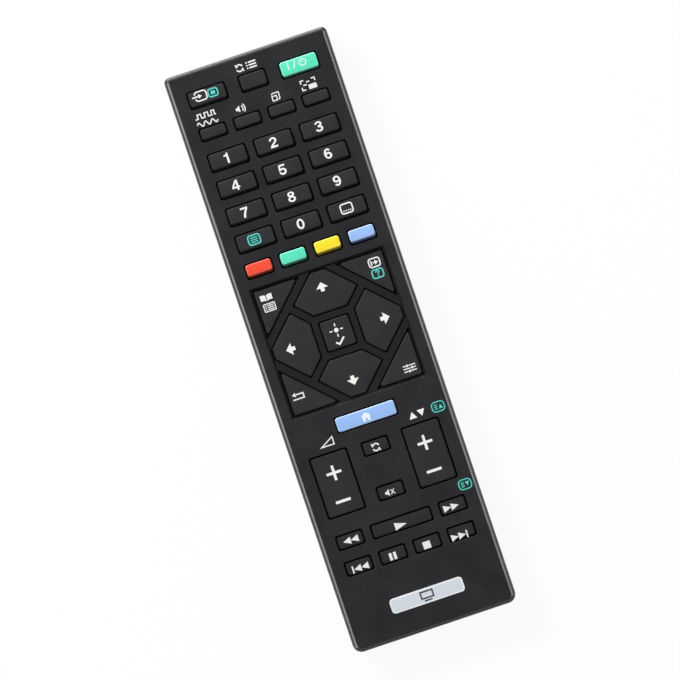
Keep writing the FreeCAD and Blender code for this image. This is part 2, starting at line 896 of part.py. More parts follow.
def belly_block(name, inset, low):
    """Block with large round lower sides, drawn in by an inset."""
    body = new_body(name)
    sketch = new_sketch(body, f"{name}_outline", offset=low)
    end = f"half_length - {inset}"
    draw_polygon(sketch, rectangle(f"half_width - {inset}", f"-({end})", end))
    pad(body, f"{name}_pad", sketch, f"parting - ({low})")
    doc.recompute()
    floor = min(vertex.Z for vertex in body.Tip.Shape.Vertexes)

    def long_and_low(edge):
        box = edge.BoundBox
        return box.ZMax < floor + SAME_HEIGHT and box.YLength > box.XLength
    round_edges(body, f"{name}_belly", f"belly_radius - {inset}", long_and_low)
    return body


def rear_blank():
    """Outer form of the rear casing, with rounded ends and a fine groove at the parting face."""
    body = belly_block("rear_blank", "0", "0")
    doc.recompute()
    top = highest(body.Tip.Shape)
    reach = body.Tip.Shape.BoundBox.YMax

    def on_end(direction):
        def lies_there(edge):
            box = edge.BoundBox
            ends = min(direction * box.YMin, direction * box.YMax)
            return ends > reach - SAME_HEIGHT and box.ZMin < top - SAME_HEIGHT
        return lies_there
    round_edges(body, "rear_head_corners", "head_radius", on_end(1))
    round_edges(body, "rear_tail_corners", "tail_radius", on_end(-1))
    round_rim(body, "rear_seam", "seam", "PartDesign::Chamfer")
    return body


def lip_radius():
    """Radius of the lip's upright corners, which follow the casing's corners inside the wall."""
    return size("tail_radius") - size("wall") + size("lip_thickness")


def rear_lip():
    """Low wall round the parting face that the front casing slips over."""
    outer = round_block(
        "lip_outer",
        ("-(lip_half_width)", "-(lip_half_length)", "parting - wall"),
        ("lip_half_width", "lip_half_length", "parting + lip_height"),
        lip_radius(),
    )
    inner = middle_block(
        "lip_inner", "half_width - wall", ("-(half_length - wall)", "half_length - wall"),
        ("parting - 2 * wall", "parting + 2 * lip_height"),
    )
    return cut("rear_lip", outer, inner)


def bay_block(blank):
    """Walls and roof round the cells, and the shelf that joins them to the casing's sides."""
    ends = ("bay_low - bay_wall", "bay_high + bay_wall")
    walls = middle_block("bay_walls", "bay_half_width + bay_wall", ends, ("shelf_level", "board_seat"))
    shelf = middle_block("bay_shelf_plan", "half_width", ends, ("shelf_level", "shelf_level + bay_wall"))
    return [walls, common("bay_shelf", blank, shelf)]


def bay_room():
    """Space for the cells, open at the back, with slots for the contact strips."""
    room = middle_block("bay_room", "bay_half_width", ("bay_low", "bay_high"), ("-floor_wall", "bay_ceiling"))
    slots = []
    for name, side in (("left", "-"), ("right", "")):
        middle = f"{side}cell_spacing / 2"
        half_width = "tail_strip_width / 2 + slot_gap"
        slots.append(block(
            f"strip_slot_{name}",
            (f"{middle} - ({half_width})", "bay_high - contact_thickness - slot_gap", "cell_axis"),
            (f"{middle} + {half_width}", "bay_high", "board_seat + slot_gap"),
        ))
    return fuse("bay_space", [room, *slots])


def bay_rib():
    """Rib under the bay's roof that keeps the two cells apart."""
    return middle_block(
        "bay_rib", "bay_rib_width / 2",
        ("bay_low + contact_thickness + slot_gap", "bay_high - contact_thickness"),
        ("bay_ceiling - bay_rib_drop", "bay_ceiling + bay_roof / 2"),
    )


def post_places():
    """Where each post of the board stands."""
    rows = [f"half_length - post_head - {row} * post_pitch" for row in range(POST_ROWS)]
    return [(f"{side}post_column", along) for along in rows for side in ("-", "")]


def board_posts():
    """Posts that carry the board at the head half, each with a pin through it."""
    posts = []
    for index, place in enumerate(post_places()):
        start = (*place, "floor_wall / 2")
        posts.append(rod(f"post_{index}", "post_radius", "board_seat - floor_wall / 2", start))
        posts.append(rod(f"post_{index}_pin", "pin_radius", "board_top - floor_wall / 2", start))
    return posts


def door_region(name, grow, low, foot_high):
    """Plan of the battery door: a long panel, with a wider foot that turns up at the tail end."""
    tail = "-(half_length + wall)"
    upright = (low, "floor_wall + door_gap")
    panel = middle_block(
        f"{name}_panel", f"door_width / 2 + {grow}", (tail, f"door_head + {grow}"), upright,
    )
    foot = middle_block(
        f"{name}_foot", f"door_foot_width / 2 + {grow}",
        (tail, f"door_foot_length + {grow} - half_length"), upright,
    )
    upstand = middle_block(
        f"{name}_upstand", f"door_foot_width / 2 + {grow}",
        (tail, "wall + door_gap - half_length"), (low, foot_high),
    )
    return fuse(name, [panel, foot, upstand])


def label_recess():
    """Bare shallow recess on the back."""
    middle = "half_length - label_from_head"
    return round_block(
        "label_recess",
        ("-label_width / 2", f"{middle} - label_depth / 2", "-label_sink"),
        ("label_width / 2", f"{middle} + label_depth / 2", "label_sink"),
        size("label_corner"),
    )


def make_rear_casing_and_door():
    """Rear shell with the battery bay, and the door that is parted from the same shell."""
    blank = rear_blank()
    shell = cut("rear_shell", blank, belly_block("rear_room", "wall", "floor_wall"))
    whole = fuse("rear_whole", [
        shell, rear_lip(), *bay_block(blank), *board_posts(), *catches("rear_catch", "0"),
    ])
    opened = cut("rear_opened", whole, bay_room())
    ribbed = fuse("rear_ribbed", [opened, bay_rib()])
    gap = door_region("door_clearance", "door_gap", "-floor_wall", "door_lip_height + door_gap")
    finish(cut("rear_casing", ribbed, group("rear_cuts", [gap, label_recess()])), "rear_casing")
    plan = door_region("door_plan", "0", "-floor_wall", "door_lip_height")
    make_battery_door(common("door_skin", shell, plan))


def door_tabs():
    """Three L-shaped tabs on each side that run behind the casing's floor, and two tongues at the head."""
    tabs = []
    middle = "(bay_low + bay_high) / 2"
    top = "tab_level + tab_thickness"
    for side in SIDES:
        post = side_reach(side, "door_width / 2 - tab_width", "door_width / 2")
        wing = side_reach(side, "door_width / 2", "door_width / 2 + tab_reach")
        for place in (-1, 0, 1):
            along = f"{middle} + {place} * tab_pitch"
            ends = (f"{along} - tab_length / 2", f"{along} + tab_length / 2")
            name = f"door_tab_{len(tabs)}"
            low_ends = [(post[0], ends[0], "floor_wall / 2"), (wing[0], ends[0], "tab_level")]
            high_ends = [(post[1], ends[1], top), (wing[1], ends[1], top)]
            tabs += [
                block(f"{name}_{part}", low, high)
                for part, low, high in zip(("post", "wing"), low_ends, high_ends)
            ]
        inner = "door_width / 2 - tongue_inset - tongue_width"
        across = side_reach(side, inner, "door_width / 2 - tongue_inset")
        tabs.append(block(
            f"tongue_root_{side}", (across[0], "door_head - tongue_root", "floor_wall / 2"),
            (across[1], "door_head", top),
        ))
        tabs.append(block(
            f"tongue_{side}", (across[0], "door_head - tongue_root", "tab_level"),
            (across[1], "door_head + tongue_length", top),
        ))
    return tabs


def door_marks():
    """Grooves for the thumb and an arrow that shows which way the door slides."""
    marks = []
    for line in range(GRIP_GROOVES):
        along = f"grip_from_end + {line} * grip_pitch - half_length"
        marks.append(middle_block(
            f"grip_groove_{line}", "grip_width / 2",
            (along, f"{along} + grip_groove"), ("-grip_depth", "grip_depth"),
        ))
    tip = f"grip_from_end + {GRIP_GROOVES} * grip_pitch + arrow_space - half_length"
    body = new_body("door_arrow")
    sketch = new_sketch(body, "door_arrow_outline", offset="-grip_depth")
    foot = f"{tip} + arrow_length"
    draw_polygon(sketch, [("0", tip), ("arrow_width / 2", foot), ("-arrow_width / 2", foot)])
    pad(body, "door_arrow_pad", sketch, "2 * grip_depth")
    return [*marks, body]


def make_battery_door(skin):
    """Sliding door over the cells."""
    whole = fuse("door_whole", [skin, *door_tabs()])
    finish(cut("battery_door", whole, group("door_cuts", door_marks())), "battery_door")


def make_name_plate():
    """Thin bare plate inlaid in the deck at the tail."""
    plate = plate_block("name_plate", "0", "deck_top - plate_sink", "deck_top - plate_sink + plate_thickness")
    finish(plate, "name_plate")


# Mat and board

def plunger_places():
    """Where each plunger goes through the mat."""
    places = [(key.column, key.row) for key in KEYS]
    for key in ROCKERS:
        places += [(key.column, f"{key.row} + rocker_arm"), (key.column, f"{key.row} - rocker_arm")]
    for name in NAV_KEYS:
        across, along = nav_stem(name)
        places.append((across, f"nav_row + {along}"))
    return places


def make_mat():
    """Rubber sheet on the board, with a round hole for each plunger."""
    sheet_block = middle_block(
        "mat_sheet", "mat_half_width", ("board_low_end + mat_inset", "board_high_end - mat_inset"),
        ("board_top", "mat_top"),
    )
    radius = "plunger_radius + mat_clearance"
    holes = [
        rod(f"mat_hole_{index}", radius, "3 * mat_thickness", (*place, "board_top - mat_thickness"))
        for index, place in enumerate(plunger_places())
    ]
    finish(cut("keypad_mat", sheet_block, group("mat_holes", holes)), "keypad_mat")


def make_board():
    """Circuit board on the bay's roof and the posts, with a hole for each pin."""
    plate = middle_block(
        "board_plate", "board_half_width", ("board_low_end", "board_high_end"), ("board_seat", "board_top"),
    )
    holes = [
        rod(f"board_hole_{index}", "pin_radius + pin_gap", "3 * board_thickness",
            (*place, "board_seat - board_thickness"))
        for index, place in enumerate(post_places())
    ]
    finish(cut("circuit_board", plate, group("board_holes", holes)), "circuit_board")


def make_chip():
    """Flat chip under the board, with a row of leads on two sides."""
    middle = "number_row - number_pitch"
    body = block(
        "chip_body",
        ("-chip_side / 2", f"{middle} - chip_side / 2", "board_seat - chip_standoff - chip_thickness"),
        ("chip_side / 2", f"{middle} + chip_side / 2", "board_seat - chip_standoff"),
    )
    leads = []
    for line in range(CHIP_LEADS):
        along = f"{middle} + ({line} - {(CHIP_LEADS - 1) / 2}) * chip_lead_pitch"
        leads.append(middle_block(
            f"chip_lead_{line}", "chip_side / 2 + chip_lead_reach",
            (f"{along} - chip_lead_width / 2", f"{along} + chip_lead_width / 2"),
            ("board_seat - chip_standoff - chip_lead_width", "board_seat"),
        ))
    finish(fuse("controller_chip", [body, *leads]), "controller_chip")


def make_resonator():
    """Small block with round corners that keeps the chip's time."""
    low = ("resonator_column", "number_row", "board_seat - resonator_height")
    high = ("resonator_column + resonator_width", "number_row + resonator_depth", "board_seat")
    finish(round_block("resonator", low, high, size("resonator_corner")), "resonator")


def make_capacitor():
    """Can that lies under the board, with a groove near one end."""
    body = new_body("capacitor", ("-capacitor_column", "number_row", "board_seat - capacitor_radius"))
    sketch = new_sketch(body, "capacitor_outline", "XZ_Plane")
    groove = "capacitor_length / 5"
    neck = "capacitor_radius - capacitor_groove"
    draw_polygon(sketch, [
        ("0", "0"), ("capacitor_length", "0"), ("capacitor_length", "capacitor_radius"),
        (f"{groove} + capacitor_groove", "capacitor_radius"), (groove, neck),
        (f"{groove} - capacitor_groove", "capacitor_radius"), ("0", "capacitor_radius"),
    ])
    turned = body.newObject("PartDesign::Revolution", "capacitor_turned")
    turned.Profile = sketch
    turned.ReferenceAxis = (sketch, ["H_Axis"])
    finish(body, "capacitor")


def make_resistors():
    """Row of small flat resistors under the board."""
    pieces = []
    for place in range(RESISTOR_COUNT):
        start = f"{place} * resistor_pitch - resistor_column"
        pieces.append(block(
            f"resistor_{place}",
            (start, "number_row - 3 * number_pitch", "board_seat - resistor_height"),
            (f"{start} + resistor_length", "number_row - 3 * number_pitch + resistor_width", "board_seat"),
        ))
    finish(group("resistors", pieces), "resistors")


def make_light():
    """Infrared lamp that looks out through the head end: a round lens on a rim, with two leads."""
    barrel = rod(
        "light_barrel", "light_radius", "light_tip - light_radius - light_base",
        ("0", "light_base", "light_axis"), ALONG_Y,
    )
    rim = rod(
        "light_rim_ring", "light_radius + light_rim", "light_rim_length",
        ("0", "light_base", "light_axis"), ALONG_Y,
    )
    lens = doc.addObject("Part::Sphere", "light_lens")
    bind(lens, "Radius", "light_radius")
    bind(lens, "Placement.Base.y", "light_tip - light_radius")
    bind(lens, "Placement.Base.z", "light_axis")
    leads = []
    for side in ("-", ""):
        middle = f"{side}lead_spread"
        leads.append(block(
            f"light_lead_{len(leads)}",
            (f"{middle} - lead_width / 2", "light_base - lead_length", "board_seat - lead_width"),
            (f"{middle} + lead_width / 2", "light_base + light_rim_length / 2", "board_seat"),
        ))
    finish(fuse("infrared_lamp", [barrel, rim, lens, *leads]), "infrared_lamp")


# Cells and contacts

def make_cell(name, side, nub_end, turn):
    """Round cell with a small nub at one end, from the nub's tip."""
    can_start = (f"{side}cell_spacing / 2", f"{nub_end[0]} {nub_end[1]} nub_length", "cell_axis")
    can = rod(f"{name}_can", "cell_diameter / 2", "cell_length", can_start, turn)
    nub_start = (f"{side}cell_spacing / 2", nub_end[0], "cell_axis")
    nub = rod(f"{name}_nub", "nub_radius", "nub_length", nub_start, turn)
    finish(fuse(name, [can, nub]), name)


def make_cells():
    """Two cells side by side, head to tail."""
    make_cell("battery_left", "-", ("bay_high - contact_thickness - end_play / 2", "-"), AGAINST_Y)
    make_cell("battery_right", "", ("bay_low + contact_thickness + end_play / 2", "+"), ALONG_Y)


def arc_between(start, corner, end):
    """Arc that leaves its start and reaches its end along the lines through a shared corner."""
    chord = (end - start).Length / 2
    middle = (start + end) * 0.5
    bulge = corner - middle
    half_turn = math.acos(min(1, chord / (corner - start).Length))
    sagitta = chord * math.tan(half_turn / 2)
    return Part.Arc(start, middle + bulge.normalize() * sagitta, end).toShape()


def biarc(start, leave, end, arrive):
    """Two arcs that join two points, each met along its own direction."""
    span = end - start
    both = leave + arrive
    spread = 2 * (1 - leave.dot(arrive))
    pull = span.dot(both)
    reach = (math.sqrt(pull * pull + spread * span.dot(span)) - pull) / spread
    first = start + leave * reach
    second = end - arrive * reach
    joint = (first + second) * 0.5
    return [arc_between(start, first, joint), arc_between(joint, second, end)]


def spring_point(turns, low, high):
    """Point on the spring's line and the way it runs there, after a number of turns."""
    share = turns / SPRING_TURNS
    base = size("spring_base_radius")
    tip = size("spring_tip_radius")
    radius = base + (tip - base) * share
    angle = 2 * math.pi * turns
    point = FreeCAD.Vector(radius * math.cos(angle), radius * math.sin(angle), low + (high - low) * share)
    per_turn = 2 * math.pi * SPRING_TURNS
    way = FreeCAD.Vector(
        -radius * math.sin(angle) + (tip - base) / per_turn * math.cos(angle),
        radius * math.cos(angle) + (tip - base) / per_turn * math.sin(angle),
        (high - low) / per_turn,
    )
    return point, way.normalize()


def make_spring(name, side, start, turn):
    """Cone-shaped coil of round wire that stands on a contact plate."""
    wire = size("wire_diameter")
    low = size("spring_start")
    high = size("spring_length") - wire / 2
    foot = FreeCAD.Vector(size("spring_base_radius"), 0, -size("contact_thickness") / 2)
    top_of_foot = FreeCAD.Vector(size("spring_base_radius"), 0, wire)
    edges = [Part.LineSegment(foot, top_of_foot).toShape()]
    place, way = top_of_foot, FreeCAD.Vector(0, 0, 1)
    quarters = [step / 4 for step in range(1, 4 * SPRING_TURNS + 1)]
    points = []
    for turns in quarters:
        next_place, next_way = spring_point(turns, low - wire, high)
        edges += biarc(place, way, next_place, next_way)
        points.append(next_place)
        place, way = next_place, next_way
    gap = min((points[index + 4] - points[index]).Length for index in range(len(points) - 4)) - wire
    print(f"{name}: least gap between turns {gap:.2f} mm")
    section = Part.Wire([Part.Circle(foot, FreeCAD.Vector(0, 0, 1), wire / 2).toShape()])
    coil = doc.addObject("Part::Feature", name)
    coil.Shape = Part.Wire(edges).makePipeShell([section], True, False)
    coil.Placement = FreeCAD.Placement(FreeCAD.Vector(), turn)
    for axis, formula in zip("xyz", (f"{side}cell_spacing / 2", start, "cell_axis")):
        bind(coil, f"Placement.Base.{axis}", formula)
    return coil


def contact_plate(name, ends, face):
    """Upright metal plate against one end wall of the bay."""
    upright = ("cell_axis - contact_height / 2", "cell_axis + contact_height / 2")
    return block(name, *zip(ends, face, upright))


def make_head_contact(name, side, extra):
    """Plate at the bay's head end, with a strip up to the board."""
    middle = f"{side}cell_spacing / 2"
    face = ("bay_high - contact_thickness", "bay_high")
    ends = (f"{middle} - contact_width / 2", f"{middle} + contact_width / 2")
    plate = contact_plate(f"{name}_plate", ends, face)
    strip = block(
        f"{name}_strip",
        (f"{middle} - tail_strip_width / 2", face[0], "cell_axis"),
        (f"{middle} + tail_strip_width / 2", face[1], "board_seat"),
    )
    finish(fuse(name, [plate, strip, *extra]), name)


def make_contacts():
    """Plate and spring at the head end, and one strip with both jobs at the tail end."""
    make_head_contact("positive_contact", "-", [])
    head_spring = make_spring("head_spring", "", "bay_high - contact_thickness", AGAINST_Y)
    make_head_contact("negative_contact", "", [head_spring])
    reach = "cell_spacing / 2 + contact_width / 2"
    plate = contact_plate("bridge_plate", (f"-({reach})", reach), ("bay_low", "bay_low + contact_thickness"))
    tail_spring = make_spring("tail_spring", "-", "bay_low + contact_thickness", ALONG_Y)
    finish(fuse("bridge_contact", [plate, tail_spring]), "bridge_contact")


def check():
    """Stop if any object failed, or a sub-part has no sound shape."""
    failed = [item.Label for item in doc.Objects if {"Invalid", "Error"} & set(item.State)]
    failed += [item.Label for item in finished if item.Shape.isNull() or not item.Shape.isValid()]
    if failed:
        raise ValueError(f"failed or unsound: {failed}")


def write():
    """Write each sub-part to a file with its own name."""
    os.makedirs("parts", exist_ok=True)
    for item in finished:
        item.Shape.exportStep(f"parts/{item.Label}.step")


fill_sheet()
make_front_casing()
make_rear_casing_and_door()
make_name_plate()
make_mat()
make_board()
make_chip()
make_resonator()
make_capacitor()
make_resistors()
make_light()
make_cells()
make_contacts()
for rectangular in KEYS:
    make_key(rectangular)
for nav_name, nav_corners in NAV_KEYS.items():
    make_nav_key(nav_name, nav_corners)
for rocking in ROCKERS:
    make_rocker(rocking)
doc.recompute()
check()
write()
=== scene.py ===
"""The looks of a handheld remote control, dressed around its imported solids.

The remote lies on its back with its keys up: X runs across it, +Y towards the end
that the infrared light leaves, and +Z up. Places on the object are written in
millimetres and turned into metres where a mesh is made.
"""

import json
import logging
import math
from collections.abc import Callable, Iterator
from contextlib import contextmanager
from dataclasses import dataclass, field
from enum import Enum

import bmesh
import bpy
from mathutils import Matrix, Vector

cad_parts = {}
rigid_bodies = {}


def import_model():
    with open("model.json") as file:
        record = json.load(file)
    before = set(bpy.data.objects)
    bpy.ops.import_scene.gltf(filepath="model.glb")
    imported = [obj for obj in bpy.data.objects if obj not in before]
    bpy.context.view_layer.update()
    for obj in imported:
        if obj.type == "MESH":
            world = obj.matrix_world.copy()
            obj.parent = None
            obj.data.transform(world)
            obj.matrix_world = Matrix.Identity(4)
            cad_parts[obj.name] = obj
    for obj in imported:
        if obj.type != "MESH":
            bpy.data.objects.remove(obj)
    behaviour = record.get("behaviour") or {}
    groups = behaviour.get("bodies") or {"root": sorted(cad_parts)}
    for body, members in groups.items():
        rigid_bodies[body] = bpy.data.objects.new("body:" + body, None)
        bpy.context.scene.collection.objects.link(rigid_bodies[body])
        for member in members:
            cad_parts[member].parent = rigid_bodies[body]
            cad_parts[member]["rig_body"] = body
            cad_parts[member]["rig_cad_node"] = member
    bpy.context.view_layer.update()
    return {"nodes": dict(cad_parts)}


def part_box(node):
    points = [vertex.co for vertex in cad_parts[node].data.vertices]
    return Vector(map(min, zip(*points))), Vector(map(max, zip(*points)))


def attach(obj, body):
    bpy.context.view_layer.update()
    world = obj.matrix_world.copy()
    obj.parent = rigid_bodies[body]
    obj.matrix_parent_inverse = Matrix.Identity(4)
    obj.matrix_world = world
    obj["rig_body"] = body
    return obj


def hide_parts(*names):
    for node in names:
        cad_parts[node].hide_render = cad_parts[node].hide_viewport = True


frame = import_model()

MM = 0.001
WELD_DISTANCE = 0.001 * MM
TURNED_SIDES = 56

# Angles in degrees: the least that is a sharp edge, and one run of an arc
SHARP_ANGLE = 35.0
ARC_STEP = 12

# Where a mixing node takes and gives its colours
MIX_COLOURS = (6, 7)
MIX_RESULT = 2

Point = tuple[float, float]
Colour = tuple[float, float, float, float]

log = logging.getLogger("remote")


def linear(code: str) -> Colour:
    """Turn a colour as it looks on a screen into the values that the shaders take.

    Args:
        code: Six hexadecimal digits after a hash.

    Returns:
        Linear red, green and blue, with an alpha of one.
    """
    shown = [int(code[place:place + 2], 16) / 255 for place in (1, 3, 5)]
    return (*(v / 12.92 if v <= 0.04045 else ((v + 0.055) / 1.055) ** 2.4 for v in shown), 1.0)


# Finishes

def rays_to_lens(tree: bpy.types.NodeTree) -> bpy.types.NodeSocket:
    """Tell the rays that the lens sees, straight, mirrored or through clear resin, from the rest.

    Args:
        tree: The node tree that needs it.

    Returns:
        The socket that gives one for them and nought for the rest.
    """
    path = tree.nodes.new("ShaderNodeLightPath")
    seen = path.outputs["Is Camera Ray"]
    for kind in ("Is Glossy Ray", "Is Transmission Ray"):
        either = tree.nodes.new("ShaderNodeMath")
        either.operation = "MAXIMUM"
        tree.links.new(seen, either.inputs[0])
        tree.links.new(path.outputs[kind], either.inputs[1])
        seen = either.outputs[0]
    return seen


class Recipe:
    """The node tree of one material while a finish fills it in."""

    def __init__(self, name: str, specular: float = 0.5, metallic: float = 0.0) -> None:
        """Start a material from a plain shader.

        Args:
            name: The material's name.
            specular: The shader's specular level.
            metallic: One for bare metal, nought for anything else.
        """
        self.material = bpy.data.materials.new(name)
        self.material.use_nodes = True
        self.tree = self.material.node_tree
        self.shader = self.tree.nodes["Principled BSDF"]
        self.shader.inputs["Specular IOR Level"].default_value = specular
        self.shader.inputs["Metallic"].default_value = metallic

    def add(self, kind: str, **settings: object) -> bpy.types.Node:
        """Add a node and set its own options.

        Args:
            kind: The node's type, without the word that all shader nodes start with.
            **settings: The node's options by name.

        Returns:
            The new node.
        """
        node = self.tree.nodes.new("ShaderNode" + kind)
        for option, value in settings.items():
            setattr(node, option, value)
        return node

    def join(self, source: bpy.types.NodeSocket, target: bpy.types.NodeSocket) -> None:
        """Link one socket to another."""
        self.tree.links.new(source, target)

    def noise(self, size: float, detail: float = 2.0, stretch: Vector | None = None) -> bpy.types.NodeSocket:
        """Make a cloudy pattern from nought to one.

        Args:
            size: About how long one cloud is, in millimetres.
            detail: How many finer layers it has.
            stretch: How the clouds are squeezed along each axis.

        Returns:
            The socket that gives the pattern.
        """
        source = self.add("TexCoord")
        shape = self.add("Mapping")
        shape.inputs["Scale"].default_value = stretch or Vector((1, 1, 1))
        clouds = self.add("TexNoise")
        clouds.inputs["Scale"].default_value = 1 / (size * MM)
        clouds.inputs["Detail"].default_value = detail
        self.join(source.outputs["Object"], shape.inputs["Vector"])
        self.join(shape.outputs["Vector"], clouds.inputs["Vector"])
        return clouds.outputs["Fac"]

    def axis(self, name: str, centre: Vector = Vector()) -> bpy.types.NodeSocket:
        """Read one coordinate of the point being shaded.

        Args:
            name: The axis, X, Y or Z.
            centre: Where it is nought, in metres.

        Returns:
            The socket that gives it, in metres.
        """
        source = self.add("TexCoord")
        shift = self.add("Mapping")
        shift.inputs["Location"].default_value = -centre
        parts = self.add("SeparateXYZ")
        self.join(source.outputs["Object"], shift.inputs["Vector"])
        self.join(shift.outputs["Vector"], parts.inputs["Vector"])
        return parts.outputs[name]

    def tilt(self) -> bpy.types.NodeSocket:
        """Read how far the surface looks up, one where it is level.

        Returns:
            The socket that gives it.
        """
        parts = self.add("SeparateXYZ")
        self.join(self.add("TexCoord").outputs["Normal"], parts.inputs["Vector"])
        return parts.outputs["Z"]

    def spread(self, value: bpy.types.NodeSocket, low: float, high: float,
               start: float = 0.0, stop: float = 1.0) -> bpy.types.NodeSocket:
        """Carry a value over from one range to another, held at its ends.

        Args:
            value: The socket that gives the value.
            low: What it becomes at start.
            high: What it becomes at stop.
            start: The first range's lower end.
            stop: The first range's upper end.

        Returns:
            The socket that gives the new value.
        """
        ranged = self.add("MapRange")
        for socket, number in zip(("From Min", "From Max", "To Min", "To Max"), (start, stop, low, high)):
            ranged.inputs[socket].default_value = number
        self.join(value, ranged.inputs["Value"])
        return ranged.outputs["Result"]

    def mixed(self, share: bpy.types.NodeSocket, first: str | bpy.types.NodeSocket,
              second: str | bpy.types.NodeSocket) -> bpy.types.NodeSocket:
        """Mix two colours.

        Args:
            share: The socket that says how much there is of the second one.
            first: A colour's code, or the socket that gives the colour.
            second: A colour's code, or the socket that gives the colour.

        Returns:
            The socket that gives the mix.
        """
        blend = self.add("Mix", data_type="RGBA")
        self.join(share, blend.inputs["Factor"])
        for place, colour in zip(MIX_COLOURS, (first, second)):
            if isinstance(colour, str):
                blend.inputs[place].default_value = linear(colour)
            else:
                self.join(colour, blend.inputs[place])
        return blend.outputs[MIX_RESULT]

    def blotched(self, pattern: bpy.types.NodeSocket, first: str | bpy.types.NodeSocket, second: str,
                 most: float, start: float, stop: float) -> bpy.types.NodeSocket:
        """Lay one colour over another in blotches.

        Args:
            pattern: The socket that gives the blotches.
            first: The colour below: its code, or the socket that gives it.
            second: The code of the blotches' colour.
            most: How much of it there is where it is strongest.
            start: The pattern's value where the blotches begin.
            stop: The pattern's value where they are strongest.

        Returns:
            The socket that gives the mix.
        """
        return self.mixed(self.spread(pattern, 0, most, start, stop), first, second)

    def tint(self, colour: bpy.types.NodeSocket) -> None:
        """Give the shader its base colour."""
        self.join(colour, self.shader.inputs["Base Color"])

    def polish(self, pattern: bpy.types.NodeSocket, low: float, high: float) -> None:
        """Let the roughness vary from low to high with a pattern.

        Args:
            pattern: The socket that gives the pattern.
            low: The roughness where it is nought.
            high: The roughness where it is one.
        """
        roughness = self.spread(pattern, low, high, start=0.25, stop=0.75)
        self.join(roughness, self.shader.inputs["Roughness"])

    def emboss(self, *layers: tuple[bpy.types.NodeSocket, float]) -> None:
        """Raise the surface with one pattern after another.

        Args:
            *layers: The socket that gives each pattern, and its height in millimetres.
        """
        below = None
        for pattern, height in layers:
            bump = self.add("Bump")
            bump.inputs["Strength"].default_value = 1.0
            bump.inputs["Distance"].default_value = height * MM
            self.join(pattern, bump.inputs["Height"])
            if below is not None:
                self.join(below, bump.inputs["Normal"])
            below = bump.outputs["Normal"]
        self.join(below, self.shader.inputs["Normal"])


@dataclass(frozen=True)
class MouldedPlastic:
    """Plastic from a spark-eroded mould: fine grain, faint flow clouds and uneven gloss."""

    name: str
    slot: str
    colour: str
    cloud_colour: str
    smooth: float = 0.42
    rough: float = 0.58
    specular: float = 0.14
    grain_size: float = 0.22
    grain_height: float = 0.012
    cloud_size: float = 9.0

    def material(self) -> bpy.types.Material:
        """Make the material.

        Returns:
            The material.
        """
        recipe = Recipe(self.name, self.specular)
        clouds = recipe.noise(self.cloud_size, detail=3.0)
        speckle = recipe.noise(self.grain_size * 3, detail=1.0)
        base = recipe.blotched(clouds, self.colour, self.cloud_colour, most=1, start=0.35, stop=0.65)
        recipe.tint(recipe.blotched(speckle, base, self.cloud_colour, most=0.5, start=0.45, stop=0.75))
        recipe.polish(speckle, self.smooth, self.rough)
        grain = recipe.noise(self.grain_size, detail=1.0)
        sink = recipe.noise(self.cloud_size * 1.6, detail=1.0)
        recipe.emboss((grain, self.grain_height), (sink, self.grain_height))
        return recipe.material


@dataclass(frozen=True)
class ColouredCap:
    """Plastic coloured right through, with painted shade low on its sides and a painted highlight on its
    rounded rim.
    """

    name: str
    slot: str
    colour: str
    painted_shade_colour: str
    rim_highlight_colour: str
    shade_height: float = 19.2
    face_height: float = 20.25
    painted_highlight: float = 0.7
    smooth: float = 0.28
    rough: float = 0.4
    specular: float = 0.45
    relief: float = 0.006

    def material(self) -> bpy.types.Material:
        """Make the material.

        Returns:
            The material.
        """
        recipe = Recipe(self.name, self.specular)
        height = recipe.axis("Z")
        # Painted shade: the colour darkens from the face height down to the shade height.
        depth = recipe.spread(height, 1, 0, self.shade_height * MM, self.face_height * MM)
        grain = recipe.noise(size=0.3, detail=1.0)
        clouds = recipe.noise(size=4.0)
        face = recipe.blotched(clouds, self.colour, self.painted_shade_colour, most=0.08, start=0.3, stop=0.7)
        # Painted highlight: a paler rim where the surface tilts away from level.
        rim_highlight = recipe.spread(recipe.tilt(), self.painted_highlight, 0, start=0.93, stop=0.995)
        highlighted = recipe.mixed(rim_highlight, face, self.rim_highlight_colour)
        recipe.tint(recipe.mixed(depth, highlighted, self.painted_shade_colour))
        recipe.polish(clouds, self.smooth, self.rough)
        recipe.emboss((grain, self.relief))
        return recipe.material


@dataclass(frozen=True)
class PrintInk:
    """Ink laid on with a pad: a little thinner in places, with the plastic's grain in it."""

    name: str
    colour: str
    thin_colour: str
    smooth: float = 0.45
    rough: float = 0.65
    specular: float = 0.3
    relief: float = 0.006

    def material(self) -> bpy.types.Material:
        """Make the material.

        Returns:
            The material.
        """
        recipe = Recipe(self.name, self.specular)
        patches = recipe.noise(size=0.5)
        grain = recipe.noise(size=0.2, detail=1.0)
        recipe.tint(recipe.blotched(patches, self.colour, self.thin_colour, most=0.5, start=0.5, stop=0.8))
        recipe.polish(patches, self.smooth, self.rough)
        recipe.emboss((grain, self.relief))
        return recipe.material


@dataclass(frozen=True)
class PlatedMetal:
    """Metal with fine lines along one axis and a few dull patches."""

    name: str
    slot: str
    colour: str
    dull_colour: str
    lines: Vector = Vector((1, 1, 12))
    smooth: float = 0.22
    rough: float = 0.42
    relief: float = 0.004

    def material(self) -> bpy.types.Material:
        """Make the material.

        Returns:
            The material.
        """
        recipe = Recipe(self.name, metallic=1.0)
        lines = recipe.noise(size=1.2, stretch=self.lines)
        patches = recipe.noise(size=2.5, detail=3.0)
        recipe.tint(recipe.blotched(patches, self.colour, self.dull_colour, most=0.8, start=0.45, stop=0.75))
        recipe.polish(lines, self.smooth, self.rough)
        recipe.emboss((lines, self.relief))
        return recipe.material


